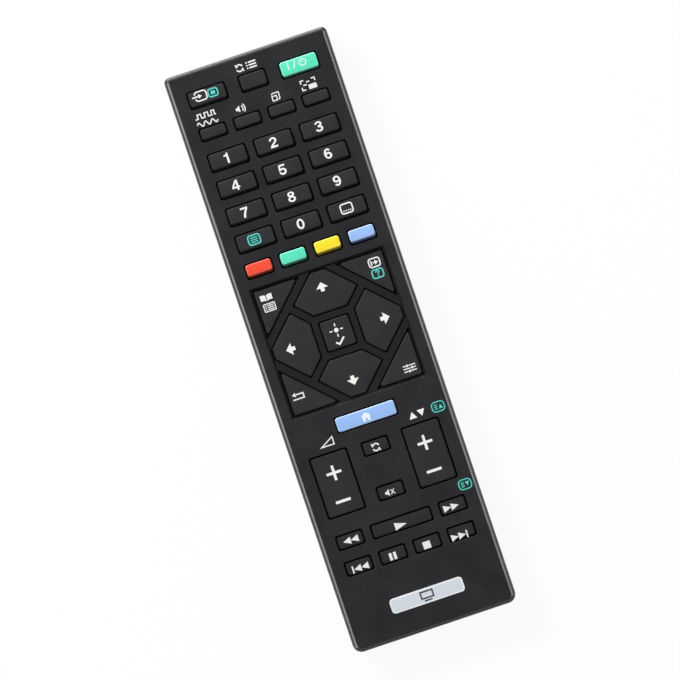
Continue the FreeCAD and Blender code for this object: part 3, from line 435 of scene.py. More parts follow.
@dataclass(frozen=True)
class BoardLaminate:
    """Pressed paper board under green lacquer, with its fibres showing faintly."""

    name: str
    slot: str
    colour: str
    fibre_colour: str
    fibre: float = 0.8
    smooth: float = 0.25
    rough: float = 0.4
    relief: float = 0.006

    def material(self) -> bpy.types.Material:
        """Make the material.

        Returns:
            The material.
        """
        recipe = Recipe(self.name)
        along = recipe.noise(self.fibre, detail=3.0, stretch=Vector((1, 7, 1)))
        across = recipe.noise(self.fibre, detail=3.0, stretch=Vector((7, 1, 1)))
        weave = recipe.blotched(along, self.colour, self.fibre_colour, most=0.6, start=0.4, stop=0.7)
        recipe.tint(recipe.blotched(across, weave, self.fibre_colour, most=0.5, start=0.4, stop=0.7))
        recipe.polish(across, self.smooth, self.rough)
        recipe.emboss((along, self.relief), (across, self.relief))
        return recipe.material


@dataclass(frozen=True)
class CellSleeve:
    """Printed film shrunk round a battery: a pale band at the end with the nub, a dark one below."""

    name: str
    slot: str
    middle: Vector
    band_end: float
    band_side: float
    body_colour: str = "#23262b"
    band_colour: str = "#b9803c"
    line_colour: str = "#d9d9d6"
    softness: float = 0.05
    smooth: float = 0.18
    rough: float = 0.34
    relief: float = 0.004

    def material(self) -> bpy.types.Material:
        """Make the material.

        Returns:
            The material.
        """
        recipe = Recipe(self.name)
        along = recipe.axis("Y", self.middle)
        edge = self.band_end * MM
        soft = self.softness * MM * self.band_side
        band = recipe.spread(along, 0, 1, edge - soft, edge + soft)
        line_edge = (self.band_end - self.band_side) * MM
        line = recipe.spread(along, 0, 1, line_edge - soft, line_edge + soft)
        scuffs = recipe.noise(size=0.7, detail=3.0, stretch=Vector((1, 0.2, 1)))
        below = recipe.mixed(line, self.body_colour, self.line_colour)
        printed = recipe.mixed(band, below, self.band_colour)
        recipe.tint(recipe.blotched(scuffs, printed, self.line_colour, most=0.25, start=0.55, stop=0.8))
        recipe.polish(scuffs, self.smooth, self.rough)
        recipe.emboss((scuffs, self.relief))
        return recipe.material


@dataclass(frozen=True)
class TintedLens:
    """Dark violet resin that lets infrared light out."""

    name: str
    slot: str
    colour: str
    swirl_colour: str
    smooth: float = 0.05
    rough: float = 0.12
    relief: float = 0.002
    clearness: float = 0.35

    def material(self) -> bpy.types.Material:
        """Make the material.

        Returns:
            The material.
        """
        recipe = Recipe(self.name)
        swirl = recipe.noise(size=1.5)
        recipe.tint(recipe.blotched(swirl, self.colour, self.swirl_colour, most=1, start=0.3, stop=0.7))
        recipe.polish(swirl, self.smooth, self.rough)
        recipe.emboss((swirl, self.relief))
        recipe.shader.inputs["Transmission Weight"].default_value = self.clearness
        return recipe.material


@dataclass(frozen=True)
class StudioPaper:
    """Plain white paper under the object, with its tooth, that stays white to the lens but keeps a shadow."""

    name: str = "studio_paper"
    colour: str = "#f4f4f4"
    pale_colour: str = "#f8f8f8"
    smooth: float = 0.8
    rough: float = 0.95
    specular: float = 0.2
    relief: float = 0.01
    glow: float = 0.94

    def material(self) -> bpy.types.Material:
        """Make the material.

        Returns:
            The material.
        """
        recipe = Recipe(self.name, self.specular)
        tooth = recipe.noise(size=0.8)
        recipe.tint(recipe.blotched(tooth, self.colour, self.pale_colour, most=1, start=0.4, stop=0.6))
        recipe.polish(tooth, self.smooth, self.rough)
        recipe.emboss((tooth, self.relief))
        share = recipe.add("Math", operation="MULTIPLY")
        share.inputs[1].default_value = self.glow
        white = recipe.add("Emission")
        blend = recipe.add("MixShader")
        recipe.join(rays_to_lens(recipe.tree), share.inputs[0])
        recipe.join(share.outputs[0], blend.inputs["Fac"])
        recipe.join(recipe.shader.outputs["BSDF"], blend.inputs[1])
        recipe.join(white.outputs["Emission"], blend.inputs[2])
        recipe.join(blend.outputs["Shader"], recipe.tree.nodes["Material Output"].inputs["Surface"])
        return recipe.material


class Ink(Enum):
    """The inks that the signs are printed in."""

    WHITE = PrintInk("white_ink", "#f6f6f4", "#dcdcda")
    TEAL = PrintInk("teal_ink", "#58d2c8", "#43b3aa")
    DARK = PrintInk("dark_ink", "#2a2d31", "#3a3d42")
    FROST = PrintInk("frost_ink", "#d3f6ea", "#bdeddc")
    MILK = PrintInk("milk_ink", "#f0f6ff", "#e0eafa")
    FIELD = PrintInk("field_ink", "#d6dce4", "#cbd2db")


# Bench work

def select_only(thing: bpy.types.Object) -> None:
    """Select one object alone and make it active.

    Args:
        thing: The object.
    """
    bpy.ops.object.select_all(action="DESELECT")
    thing.select_set(True)
    bpy.context.view_layer.objects.active = thing


@contextmanager
def editing(piece: bpy.types.Object) -> Iterator[None]:
    """Open a piece's mesh with all of it selected, and close it at the end.

    Args:
        piece: The piece.

    Returns:
        What a with statement takes.
    """
    select_only(piece)
    bpy.ops.object.mode_set(mode="EDIT")
    bpy.ops.mesh.select_all(action="SELECT")
    yield
    bpy.ops.object.mode_set(mode="OBJECT")


def dress(piece: bpy.types.Object, material: bpy.types.Material) -> None:
    """Give a piece one material all over."""
    piece.data.materials.clear()
    piece.data.materials.append(material)


def smooth_by_angle(piece: bpy.types.Object, degrees: float = SHARP_ANGLE) -> None:
    """Shade a piece smooth, apart from edges sharper than an angle, and keep its flats flat.

    Args:
        piece: The piece.
        degrees: The angle.
    """
    select_only(piece)
    bpy.ops.object.shade_smooth_by_angle(angle=math.radians(degrees))
    flats = piece.modifiers.new("flats", "WEIGHTED_NORMAL")
    flats.mode = "CORNER_ANGLE"
    flats.keep_sharp = True
    flats.use_face_influence = True
    bpy.ops.object.modifier_apply(modifier="flats")


def full_width(middle: Vector) -> float:
    """Round an edge by the whole width, wherever it is."""
    return 1.0


def bevel_edges(piece: bpy.types.Object, width: float, segments: int = 2,
                share: Callable[[Vector], float] = full_width) -> None:
    """Round the edges that stand out sharply, and leave inner corners as they are.

    Args:
        piece: The piece.
        width: How wide the rounding is, in millimetres.
        segments: How many faces it has.
        share: Gives the part of the width that an edge takes, from its middle in metres.
    """
    form = bmesh.new()
    form.from_mesh(piece.data)
    weights = [0.0] * len(form.edges)
    for edge in form.edges:
        if len(edge.link_faces) == 2 and edge.calc_face_angle_signed() > math.radians(SHARP_ANGLE):
            weights[edge.index] = share((edge.verts[0].co + edge.verts[1].co) / 2)
    form.free()
    piece.data.attributes.new("bevel_weight_edge", "FLOAT", "EDGE").data.foreach_set("value", weights)
    select_only(piece)
    soft = piece.modifiers.new("soft", "BEVEL")
    soft.width = width * MM
    soft.segments = segments
    soft.limit_method = "WEIGHT"
    soft.use_clamp_overlap = False
    soft.loop_slide = False
    soft.face_strength_mode = "FSTR_ALL"
    bpy.ops.object.modifier_apply(modifier="soft")


def moulding(node: str, width: float, segments: int = 2,
             share: Callable[[Vector], float] = full_width) -> bpy.types.Object:
    """Copy a solid, round its sharp edges and let the copy stand for it.

    Args:
        node: The solid's name.
        width: How wide the rounding is, in millimetres.
        segments: How many faces the rounding has.
        share: Gives the part of the width that an edge takes, from its middle in metres.

    Returns:
        The copy, on the solid's own body.
    """
    source = frame["nodes"][node]
    body = source["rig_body"]
    select_only(source)
    bpy.ops.object.duplicate()
    piece = bpy.context.object
    piece.name = piece.data.name = node + "_moulding"
    piece.parent = None
    piece.matrix_world = Matrix.Identity(4)
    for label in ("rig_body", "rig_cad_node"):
        del piece[label]
    with editing(piece):
        bpy.ops.mesh.customdata_custom_splitnormals_clear()
        bpy.ops.mesh.remove_doubles(threshold=WELD_DISTANCE)
    bevel_edges(piece, width, segments, share)
    smooth_by_angle(piece)
    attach(piece, body)
    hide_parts(node)
    return piece


def close_up(piece: bpy.types.Object) -> None:
    """Merge a piece's doubled points and turn its faces outwards.

    Args:
        piece: The piece.
    """
    with editing(piece):
        bpy.ops.mesh.remove_doubles(threshold=WELD_DISTANCE)
        bpy.ops.mesh.normals_make_consistent(inside=False)


def turned(name: str, start: Vector, along: float, profile: list[Point]) -> bpy.types.Object:
    """Turn a piece round a line along Y, as on a lathe.

    Args:
        name: The piece's name.
        start: The middle of its first end, in metres.
        along: One if it grows towards +Y, minus one if towards -Y.
        profile: How far each ring is from the start, and its radius, in millimetres.

    Returns:
        The closed piece.
    """
    bpy.ops.object.select_all(action="DESELECT")
    first = profile[0][1]
    bpy.ops.mesh.primitive_circle_add(vertices=TURNED_SIDES, radius=first * MM, fill_type="NGON",
                                      location=start, rotation=(math.pi / 2, 0, 0))
    piece = bpy.context.object
    piece.name = piece.data.name = name
    bpy.ops.object.transform_apply(location=True, rotation=True, scale=True)
    with editing(piece):
        for (reach, radius), (next_reach, next_radius) in zip(profile, profile[1:]):
            step = (next_reach - reach) * MM * along
            bpy.ops.mesh.extrude_region_move(TRANSFORM_OT_translate={"value": (0, step, 0)})
            middle = start + Vector((0, next_reach * MM * along, 0))
            grow = next_radius / radius
            bpy.ops.transform.resize(value=(grow, 1, grow), center_override=middle)
    close_up(piece)
    smooth_by_angle(piece, degrees=30)
    return piece


# Signs

@dataclass
class Stencil:
    """Outlines of one flat sign, in millimetres from its own middle, with +Y up."""

    line: float = 0.36
    outlines: list[list[Point]] = field(default_factory=list)

    def polygon(self, *points: Point) -> "Stencil":
        """Add one closed outline."""
        self.outlines.append(list(points))
        return self

    def bar(self, left: float, low: float, right: float, high: float) -> "Stencil":
        """Add an upright rectangle by its sides."""
        return self.polygon((left, low), (right, low), (right, high), (left, high))

    def disc(self, x: float, y: float, radius: float, sides: int) -> "Stencil":
        """Add a filled circle, or another shape with equal sides."""
        turns = [2 * math.pi * (step + 0.5) / sides for step in range(sides)]
        return self.polygon(*((x + radius * math.cos(turn), y + radius * math.sin(turn)) for turn in turns))

    def pad(self, x: float, y: float, width: float, height: float, radius: float) -> "Stencil":
        """Add a filled rectangle with round corners."""
        return self.polygon(*rounded(x, y, width, height, radius))

    def box(self, x: float, y: float, width: float, height: float, radius: float) -> "Stencil":
        """Add a rectangle with round corners, drawn with the line.

        Args:
            x: The middle, across.
            y: The middle, up.
            width: The whole width.
            height: The whole height.
            radius: The outer corners' radius.

        Returns:
            The stencil itself.
        """
        self.pad(x, y, width, height, radius)
        inner = max(radius - self.line, 0.05)
        return self.pad(x, y, width - 2 * self.line, height - 2 * self.line, inner)

    def ribbon(self, *points: Point) -> "Stencil":
        """Add a bent line with square ends."""
        return self.polygon(*ribbon(list(points), self.line))

    def band(self, x: float, y: float, radius: float, start: float, stop: float) -> "Stencil":
        """Add an arc between two angles in degrees."""
        return self.ribbon(*bow(x, y, radius, radius, start, stop))

    def head(self, x: float, y: float, length: float, width: float, degrees: float) -> "Stencil":
        """Add a triangle whose tip is at a point and looks along an angle.

        Args:
            x: The tip, across.
            y: The tip, up.
            length: From the tip to the foot.
            width: How wide the foot is.
            degrees: Where the tip looks, anticlockwise from +X.

        Returns:
            The stencil itself.
        """
        turn = math.radians(degrees)
        ahead = (math.cos(turn), math.sin(turn))
        foot = (x - length * ahead[0], y - length * ahead[1])
        side = (-ahead[1] * width / 2, ahead[0] * width / 2)
        left, right = (foot[0] + side[0], foot[1] + side[1]), (foot[0] - side[0], foot[1] - side[1])
        return self.polygon((x, y), left, right)

    def frame(self, *points: Point) -> "Stencil":
        """Add a closed shape with straight sides, drawn with the line inside its corners."""
        return self.polygon(*points).polygon(*inset(list(points), self.line))

    def turned(self, degrees: float) -> "Stencil":
        """Turn the whole sign round its middle.

        Args:
            degrees: How far, anticlockwise.

        Returns:
            The stencil itself.
        """
        cosine, sine = math.cos(math.radians(degrees)), math.sin(math.radians(degrees))
        self.outlines = [[(x * cosine - y * sine, x * sine + y * cosine) for x, y in outline]
                         for outline in self.outlines]
        return self

    def flipped(self) -> "Stencil":
        """Mirror the whole sign from left to right."""
        self.outlines = [[(-x, y) for x, y in reversed(outline)] for outline in self.outlines]
        return self


def rounded(x: float, y: float, width: float, height: float, radius: float, steps: int = 5) -> list[Point]:
    """Outline of a rectangle with round corners.

    Args:
        x: The middle, across.
        y: The middle, up.
        width: The whole width.
        height: The whole height.
        radius: The corners' radius.
        steps: How many runs each corner has.

    Returns:
        The outline, anticlockwise.
    """
    points = []
    for quarter, (side, end) in enumerate(((1, 1), (-1, 1), (-1, -1), (1, -1))):
        for step in range(steps + 1):
            turn = math.radians(90 * (quarter + step / steps))
            points.append((x + side * (width / 2 - radius) + radius * math.cos(turn),
                           y + end * (height / 2 - radius) + radius * math.sin(turn)))
    return points


def ribbon(points: list[Point], width: float) -> list[Point]:
    """Outline of a bent line of one width, with mitred bends.

    Args:
        points: The points that its middle runs through.
        width: The line's width.

    Returns:
        The closed outline.
    """
    runs = [Vector(b) - Vector(a) for a, b in zip(points, points[1:])]
    sides = [Vector((-run.y, run.x)).normalized() for run in runs]
    sides = [sides[0], *sides, sides[-1]]
    left, right = [], []
    for point, before, after in zip(points, sides, sides[1:]):
        reach = (before + after) * (width / 2 / (1 + before.dot(after)))
        left.append(tuple(Vector(point) + reach))
        right.append(tuple(Vector(point) - reach))
    return left + right[::-1]


def inset(points: list[Point], distance: float) -> list[Point]:
    """Move the sides of a closed anticlockwise shape inwards.

    Args:
        points: The shape's corners.
        distance: How far.

    Returns:
        The corners of the smaller shape.
    """
    moved = []
    for before, here, after in zip(points[-1:] + points[:-1], points, points[1:] + points[:1]):
        runs = ((before, here), (here, after))
        sides = [Vector((-(b[1] - a[1]), b[0] - a[0])).normalized() for a, b in runs]
        reach = (sides[0] + sides[1]) * (distance / (1 + sides[0].dot(sides[1])))
        moved.append(tuple(Vector(here) + reach))
    return moved


def bow(x: float, y: float, wide: float, tall: float, start: float, stop: float) -> list[Point]:
    """Points along part of an ellipse.

    Args:
        x: Its middle, across.
        y: Its middle, up.
        wide: Half its width.
        tall: Half its height.
        start: The angle in degrees that it starts at.
        stop: The angle in degrees that it stops at.

    Returns:
        The points, both ends among them.
    """
    steps = max(2, round(abs(stop - start) / ARC_STEP))
    turns = [math.radians(start + (stop - start) * step / steps) for step in range(steps + 1)]
    return [(x + wide * math.cos(turn), y + tall * math.sin(turn)) for turn in turns]


class DigitWriter:
    """Draws plain bold digits as closed outlines."""

    half: float = 1.465

    def write(self, digit: int) -> Stencil:
        """Draw one digit.

        Args:
            digit: The digit.

        Returns:
            Its sign.
        """
        sign = Stencil()
        for outline in getattr(self, f"digit_{digit}")():
            sign.polygon(*outline)
        return sign

    def digit_0(self) -> list[list[Point]]:
        """A tall ring."""
        return [bow(0, 0, 1.07, self.half, 0, 348), bow(0, 0, 0.52, 0.98, 0, 348)]

    def digit_1(self) -> list[list[Point]]:
        """A stem with a short flag."""
        return [[(0.6, -self.half), (0.6, self.half), (0.2, self.half), (0.02, 1.14), (-0.3, 0.98),
                 (-0.68, 0.93), (-0.68, 0.56), (0.04, 0.56), (0.04, -self.half)]]

    def digit_2(self) -> list[list[Point]]:
        """A bow that runs down to a foot.

        Returns:
            The digit's outlines.
        """
        outer = bow(0, 0.56, 1.04, 0.905, 182, -18)
        inner = bow(0, 0.56, 0.5, 0.43, -20, 182)
        return [[*outer, (0.62, -0.18), (0.14, -0.56), (-0.28, -0.94), (1.04, -0.94), (1.04, -self.half),
                 (-1.08, -self.half), (-1.03, -1.12), (-0.76, -0.72), (-0.2, -0.22), (0.28, 0.16), *inner]]

    def digit_3(self) -> list[list[Point]]:
        """Two bows, one over the other.

        Returns:
            The digit's outlines.
        """
        upper = bow(0, 0.7, 1.0, 0.765, 175, -40)
        lower = bow(0, -0.63, 1.08, 0.835, 44, -176)
        inner = bow(0, -0.63, 0.53, 0.37, -172, 90)
        top = bow(0, 0.7, 0.46, 0.32, -90, 172)
        return [[*upper, (0.56, 0.1), *lower, *inner, (-0.24, -0.26), (-0.24, 0.3), *top]]

    def digit_4(self) -> list[list[Point]]:
        """A stem that a slanted arm and a bar meet.

        Returns:
            The digit's outlines.
        """
        return [[(0.18, -self.half), (0.72, -self.half), (0.72, -0.84), (1.1, -0.84), (1.1, -0.38),
                 (0.72, -0.38), (0.72, self.half), (0.1, self.half), (-1.14, -0.34), (-1.14, -0.84),
                 (0.18, -0.84)],
                [(0.18, -0.38), (-0.62, -0.38), (0.18, 0.78)]]

    def digit_5(self) -> list[list[Point]]:
        """A flag over an open bowl.

        Returns:
            The digit's outlines.
        """
        bowl = bow(0, -0.5, 1.07, 0.965, 100, -176)
        inner = bow(0, -0.5, 0.52, 0.47, -172, 150)
        return [[(-0.8, self.half), (0.92, self.half), (0.92, 0.97), (-0.38, 0.97), (-0.48, 0.34), *bowl,
                 *inner, (-1.02, -0.2)]]

    def digit_6(self) -> list[list[Point]]:
        """A bowl with a long curl up.

        Returns:
            The digit's outlines.
        """
        back = bow(0, 0, 1.07, self.half, 38, 270)
        bowl = bow(0.01, -0.52, 1.05, 0.945, -78, 112)
        curl = bow(0, 0, 0.53, 0.99, 165, 46)
        return [[*back, *bowl, *curl], bow(0.01, -0.52, 0.5, 0.45, 0, 348)]

    def digit_7(self) -> list[list[Point]]:
        """A bar and a bent leg.

        Returns:
            The digit's outlines.
        """
        return [[(-1.04, self.half), (-1.04, 0.94), (0.42, 0.94), (0.02, 0.38), (-0.34, -0.32),
                 (-0.54, -0.98), (-0.6, -self.half), (-0.02, -self.half), (0.06, -0.94), (0.28, -0.26),
                 (0.64, 0.38), (1.04, 0.98), (1.04, self.half)]]

    def digit_8(self) -> list[list[Point]]:
        """A small ring on a larger one."""
        return [[*bow(0, 0.73, 0.96, 0.735, -50, 230), *bow(0, -0.64, 1.07, 0.825, 120, 420)],
                bow(0, 0.75, 0.42, 0.31, 0, 348), bow(0, -0.62, 0.52, 0.4, 0, 348)]

    def digit_9(self) -> list[list[Point]]:
        """A six the other way up."""
        return [[(-x, -y) for x, y in outline] for outline in self.digit_6()]


class SignWriter:
    """Draws the generic signs of the keys and the deck, one method each."""

    def arrow(self, degrees: float = 0.0) -> Stencil:
        """An arrow of the ring of keys, up until it is turned."""
        return Stencil().polygon((0, 1.4), (-1.72, -0.3), (-0.55, -0.3), (-0.55, -1.25),
                                 (0.55, -1.25), (0.55, -0.3), (1.72, -0.3)).turned(degrees)

    def plus(self) -> Stencil:
        """A plus sign.

        Returns:
            The sign.
        """
        arm, half = 2.15, 0.37
        corners = [(half, half), (half, arm), (-half, arm), (-half, half), (-arm, half), (-arm, -half)]
        return Stencil().polygon(*corners, *((-x, -y) for x, y in corners))

    def minus(self) -> Stencil:
        """A minus sign."""
        return Stencil().bar(-2.15, -0.38, 2.15, 0.38)

    def play(self) -> Stencil:
        """One triangle to the right."""
        return Stencil().head(1.78, 0, 3.5, 2.2, 0)

    def forward(self) -> Stencil:
        """Two triangles to the right."""
        return Stencil().head(0.02, 0, 2.2, 2.0, 0).head(2.24, 0, 2.2, 2.0, 0)

    def rewind(self) -> Stencil:
        """Two triangles to the left."""
        return self.forward().flipped()

    def next(self) -> Stencil:
        """Two triangles to the right and an end bar."""
        return Stencil().head(-0.3, 0, 2.1, 2.0, 0).head(1.83, 0, 2.1, 2.0, 0).bar(1.95, -1.05, 2.35, 1.05)

    def previous(self) -> Stencil:
        """An end bar and two triangles to the left."""
        return self.next().flipped()

    def pause(self) -> Stencil:
        """Two bars."""
        return Stencil().bar(-1.0, -1.05, -0.2, 1.05).bar(0.25, -1.05, 1.05, 1.05)

    def stop(self) -> Stencil:
        """A square."""
        return Stencil().bar(-1.07, -1.03, 1.07, 1.03)

    def swap(self, radius: float = 1.0, line: float = 0.42) -> Stencil:
        """Two arrows that chase each other round a circle.

        Args:
            radius: The circle's radius.
            line: The line's width.

        Returns:
            The sign.
        """
        sign = Stencil(line)
        for turn in (20.0, 200.0):
            sign.band(0, 0, radius, turn, turn + 105)
            tip = math.radians(turn + 152)
            x, y = radius * math.cos(tip), radius * math.sin(tip)
            sign.head(x, y, 0.95 * radius, 1.25 * radius, turn + 226)
        return sign

    def speaker(self, x: float = 0.0) -> Stencil:
        """A loudspeaker seen from the side."""
        return Stencil(0.3).polygon((x - 0.95, -0.38), (x - 0.5, -0.38), (x + 0.2, -0.98),
                                    (x + 0.2, 0.98), (x - 0.5, 0.38), (x - 0.95, 0.38))

    def mute(self) -> Stencil:
        """A loudspeaker with a cross beside it.

        Returns:
            The sign.
        """
        right = [(0.14, 0), (0.69, 0.66), (0.41, 0.72)]
        top = [*right, (0, 0.264), *((-x, y) for x, y in reversed(right))]
        cross = [*top, *((x, -y) for x, y in reversed(top[1:-1]))]
        return self.speaker(-0.45).polygon(*((x + 0.75, y) for x, y in cross))

    def sound(self) -> Stencil:
        """A loudspeaker with two waves."""
        sign = self.speaker(-0.6)
        return sign.band(-0.75, 0, 1.25, -38, 38).band(-0.75, 0, 1.85, -38, 38)

    def volume(self) -> Stencil:
        """A wedge that grows to the right, in outline."""
        return Stencil(0.3).frame((-2.2, -1.25), (2.15, -1.25), (2.15, 1.3))

    def steps(self) -> Stencil:
        """A triangle up and a triangle down."""
        return Stencil().head(-1.3, 0.95, 1.9, 2.2, 90).head(1.3, -0.95, 1.9, 2.2, -90)

    def entry(self) -> Stencil:
        """An arrow that runs into a screen.

        Returns:
            The sign.
        """
        sign = Stencil(0.36)
        path = rounded(0.45, 0, 3.3, 2.6, 0.75)
        split = len(path) // 2
        ring = path[split:] + path[:split]
        sign.ribbon((-1.2, -0.55), *ring[1:-1], (-1.2, 0.55))
        return sign.bar(-2.1, -0.19, -0.35, 0.19).head(0.75, 0, 1.0, 1.3, 0)

    def screen(self, width: float = 3.75, height: float = 3.05) -> Stencil:
        """A blank screen with round corners."""
        return Stencil(0.38).box(0, 0, width, height, 0.85)

    def small_screen(self) -> Stencil:
        """A screen with a block in it."""
        return self.screen(3.1, 2.55).pad(0, 0, 1.3, 1.0, 0.2)

    def page(self) -> Stencil:
        """A screen with lines of writing.

        Returns:
            The sign.
        """
        sign = self.screen()
        for y in (-0.62, 0.0, 0.62):
            sign.bar(-1.05, y - 0.15, 1.05, y + 0.15)
        return sign

    def captions(self) -> Stencil:
        """A screen with a dotted line low down.

        Returns:
            The sign.
        """
        sign = self.screen()
        for x in (-0.96, -0.32, 0.32, 0.96):
            sign.bar(x - 0.18, -0.78, x + 0.18, -0.45)
        return sign

    def page_step(self, degrees: float) -> Stencil:
        """A screen with short lines and a triangle, up or down.

        Args:
            degrees: Ninety for up, minus ninety for down.

        Returns:
            The sign.
        """
        sign = Stencil(0.3).box(0, 0, 3.85, 3.0, 1.1)
        for y in (-0.55, 0.0, 0.55):
            sign.bar(-1.15, y - 0.13, -0.2, y + 0.13)
        tip = 0.66 if degrees > 0 else -0.66
        return sign.head(0.7, tip, 1.32, 1.15, degrees)

    def hint(self) -> Stencil:
        """A screen with an arrow in it."""
        sign = self.screen(3.5, 2.8).bar(-1.05, -0.7, -0.7, 0.7)
        return sign.bar(-0.45, -0.2, 0.14, 0.2).head(1.1, 0, 0.95, 1.5, 0)

    def query(self) -> Stencil:
        """A screen with a question mark in it.

        Returns:
            The sign.
        """
        sign = self.screen(3.5, 2.8)
        sign.line = 0.34
        sign.ribbon((-0.5, 0.35), (-0.4, 0.68), (0, 0.82), (0.4, 0.66), (0.44, 0.34), (0.08, 0.02), (0, -0.3))
        return sign.bar(-0.19, -0.85, 0.19, -0.5)

    def listing(self) -> Stencil:
        """A table of three rows.

        Returns:
            The sign.
        """
        sign = Stencil(0.28).box(0, 0, 3.5, 2.4, 0.35)
        for y in (-0.56, 0.0, 0.56):
            sign.bar(-1.25, y - 0.14, -0.85, y + 0.14).bar(-0.6, y - 0.14, 1.25, y + 0.14)
        return sign

    def book(self) -> Stencil:
        """An open book.

        Returns:
            The sign.
        """
        page = [(-0.12, -0.95), (-0.12, 0.65), (-0.75, 0.9), (-1.7, 0.9), (-1.7, -0.7), (-0.75, -0.7)]
        sign = Stencil(0.28).polygon(*page)
        return sign.polygon(*((-x, y) for x, y in reversed(page)))

    def target(self) -> Stencil:
        """A dot with a tick on each side.

        Returns:
            The sign.
        """
        sign = Stencil().disc(0, 0, 0.66, 8)
        for turn in range(4):
            tick = Stencil().bar(-0.17, 1.12, 0.17, 1.95).turned(90 * turn)
            sign.outlines += tick.outlines
        return sign

    def tick(self) -> Stencil:
        """A tick."""
        return Stencil(0.5).ribbon((-1.25, -0.1), (-0.35, -0.8), (1.35, 0.85))

    def back(self) -> Stencil:
        """An arrow that turns back."""
        sign = Stencil(0.34).ribbon((-0.55, 0.5), (1.5, 0.5), (1.5, -0.82), (-1.7, -0.82))
        return sign.head(-1.7, 0.5, 1.0, 1.25, 180)

    def sliders(self) -> Stencil:
        """Three sliders, each set elsewhere.

        Returns:
            The sign.
        """
        sign = Stencil()
        for y, x in ((0.8, -0.6), (0.0, 0.7), (-0.8, -0.2)):
            sign.bar(-1.8, y - 0.15, x - 0.45, y + 0.15).bar(x + 0.45, y - 0.15, 1.8, y + 0.15)
            sign.disc(x, y, 0.36, 12)
        return sign

    def house(self) -> Stencil:
        """A house."""
        return Stencil().polygon((-1.5, 0.1), (0, 1.3), (1.5, 0.1), (1.05, 0.1), (1.05, -1.2), (0.32, -1.2),
                                 (0.32, -0.35), (-0.32, -0.35), (-0.32, -1.2), (-1.05, -1.2), (-1.05, 0.1))

    def standby(self) -> Stencil:
        """A stroke, a slash, and a ring that a stroke enters.

        Returns:
            The sign.
        """
        sign = Stencil(0.34).bar(-2.85, -1.05, -2.45, 1.05)
        sign.polygon((-1.35, -1.1), (-1.0, -1.1), (-0.3, 1.1), (-0.65, 1.1))
        sign.band(1.55, -0.1, 0.95, 120, 420)
        return sign.bar(1.38, -0.05, 1.72, 1.2)

    def menu(self) -> Stencil:
        """Two arrows round a circle beside a list.

        Returns:
            The sign.
        """
        sign = self.swap(0.95, 0.38)
        sign.outlines = [[(x - 1.75, y) for x, y in outline] for outline in sign.outlines]
        for y in (-0.8, 0.0, 0.8):
            sign.bar(0.2, y - 0.2, 0.6, y + 0.2).bar(0.95, y - 0.2, 3.1, y + 0.2)
        return sign

    def waves(self) -> Stencil:
        """A stepped wave over a round one.

        Returns:
            The sign.
        """
        sign = Stencil(0.34)
        steps = [(-3.0, 0.5), (-2.2, 0.5), (-2.2, 1.7), (-1.2, 1.7), (-1.2, 0.5), (-0.2, 0.5), (-0.2, 1.7),
                 (0.8, 1.7), (0.8, 0.5), (1.8, 0.5), (1.8, 1.7), (2.6, 1.7), (2.6, 0.5), (3.0, 0.5)]
        sign.ribbon(*steps)
        wave = ((-3 + 0.25 * step, -1.15 + 0.6 * math.sin(math.pi * step / 4)) for step in range(25))
        return sign.ribbon(*wave)

    def cube(self) -> Stencil:
        """A block seen from a corner.

        Returns:
            The sign.
        """
        sign = Stencil(0.3).box(-0.3, -0.3, 1.6, 1.6, 0.1)
        sign.ribbon((-0.95, 0.8), (-0.55, 1.15), (1.15, 1.15), (1.15, -0.55), (0.8, -0.95))
        return sign

    def format(self) -> Stencil:
        """Corners of a frame, and a smaller picture in it.

        Returns:
            The sign.
        """
        sign = Stencil(0.34)
        for side, end in ((1, 1), (-1, 1), (-1, -1)):
            sign.ribbon((side * 1.1, end * 1.35), (side * 2.05, end * 1.35), (side * 2.05, end * 0.45))
        sign.bar(-0.45, 0.55, 0.45, 0.9).bar(-1.5, -0.18, -0.5, 0.18)
        return sign.pad(1.0, -0.85, 2.3, 1.35, 0.12)

    def receiver(self) -> Stencil:
        """A flat screen on its foot."""
        return Stencil(0.44).box(0, 0.3, 3.9, 2.3, 0.15).bar(-1.1, -1.55, 1.1, -1.15)


@dataclass
class Print:
    """One printed sign: what it shows, in which ink and where."""

    name: str
    carrier: str
    stencil: Stencil
    x: float
    y: float
    ink: Ink = Ink.WHITE


class Press:
    """Cuts films of ink and lays them on their carriers."""

    def __init__(self, sink: float = 0.01, stand: float = 0.02) -> None:
        """Set how the ink lies.

        Args:
            sink: How deep it goes into its carrier, in millimetres.
            stand: How far it stands over it, in millimetres.
        """
        self.sink = sink
        self.stand = stand
        self.materials = {ink: ink.value.material() for ink in Ink}

    def stamp(self, item: Print, level: float) -> None:
        """Cut one sign in millimetres, bring it to its place and let it ride with its carrier.

        Args:
            item: The sign.
            level: The height of the surface under it, in millimetres.
        """
        curve = bpy.data.curves.new(item.name, "CURVE")
        curve.dimensions = "2D"
        curve.fill_mode = "BOTH"
        curve.extrude = (self.stand + self.sink) / 2
        for outline in item.stencil.outlines:
            spline = curve.splines.new("POLY")
            spline.points.add(len(outline) - 1)
            for point, (x, y) in zip(spline.points, outline):
                point.co = (x, y, 0, 1)
            spline.use_cyclic_u = True
        film = bpy.data.objects.new(item.name, curve)
        bpy.context.scene.collection.objects.link(film)
        select_only(film)
        bpy.ops.object.convert(target="MESH")
        film = bpy.context.object
        close_up(film)
        film.location = Vector((item.x, item.y, level + (self.stand - self.sink) / 2)) * MM
        film.scale = (MM, MM, MM)
        bpy.ops.object.transform_apply(location=True, rotation=True, scale=True)
        dress(film, self.materials[item.ink])
        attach(film, frame["nodes"][item.carrier]["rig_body"])


# Sub-assemblies

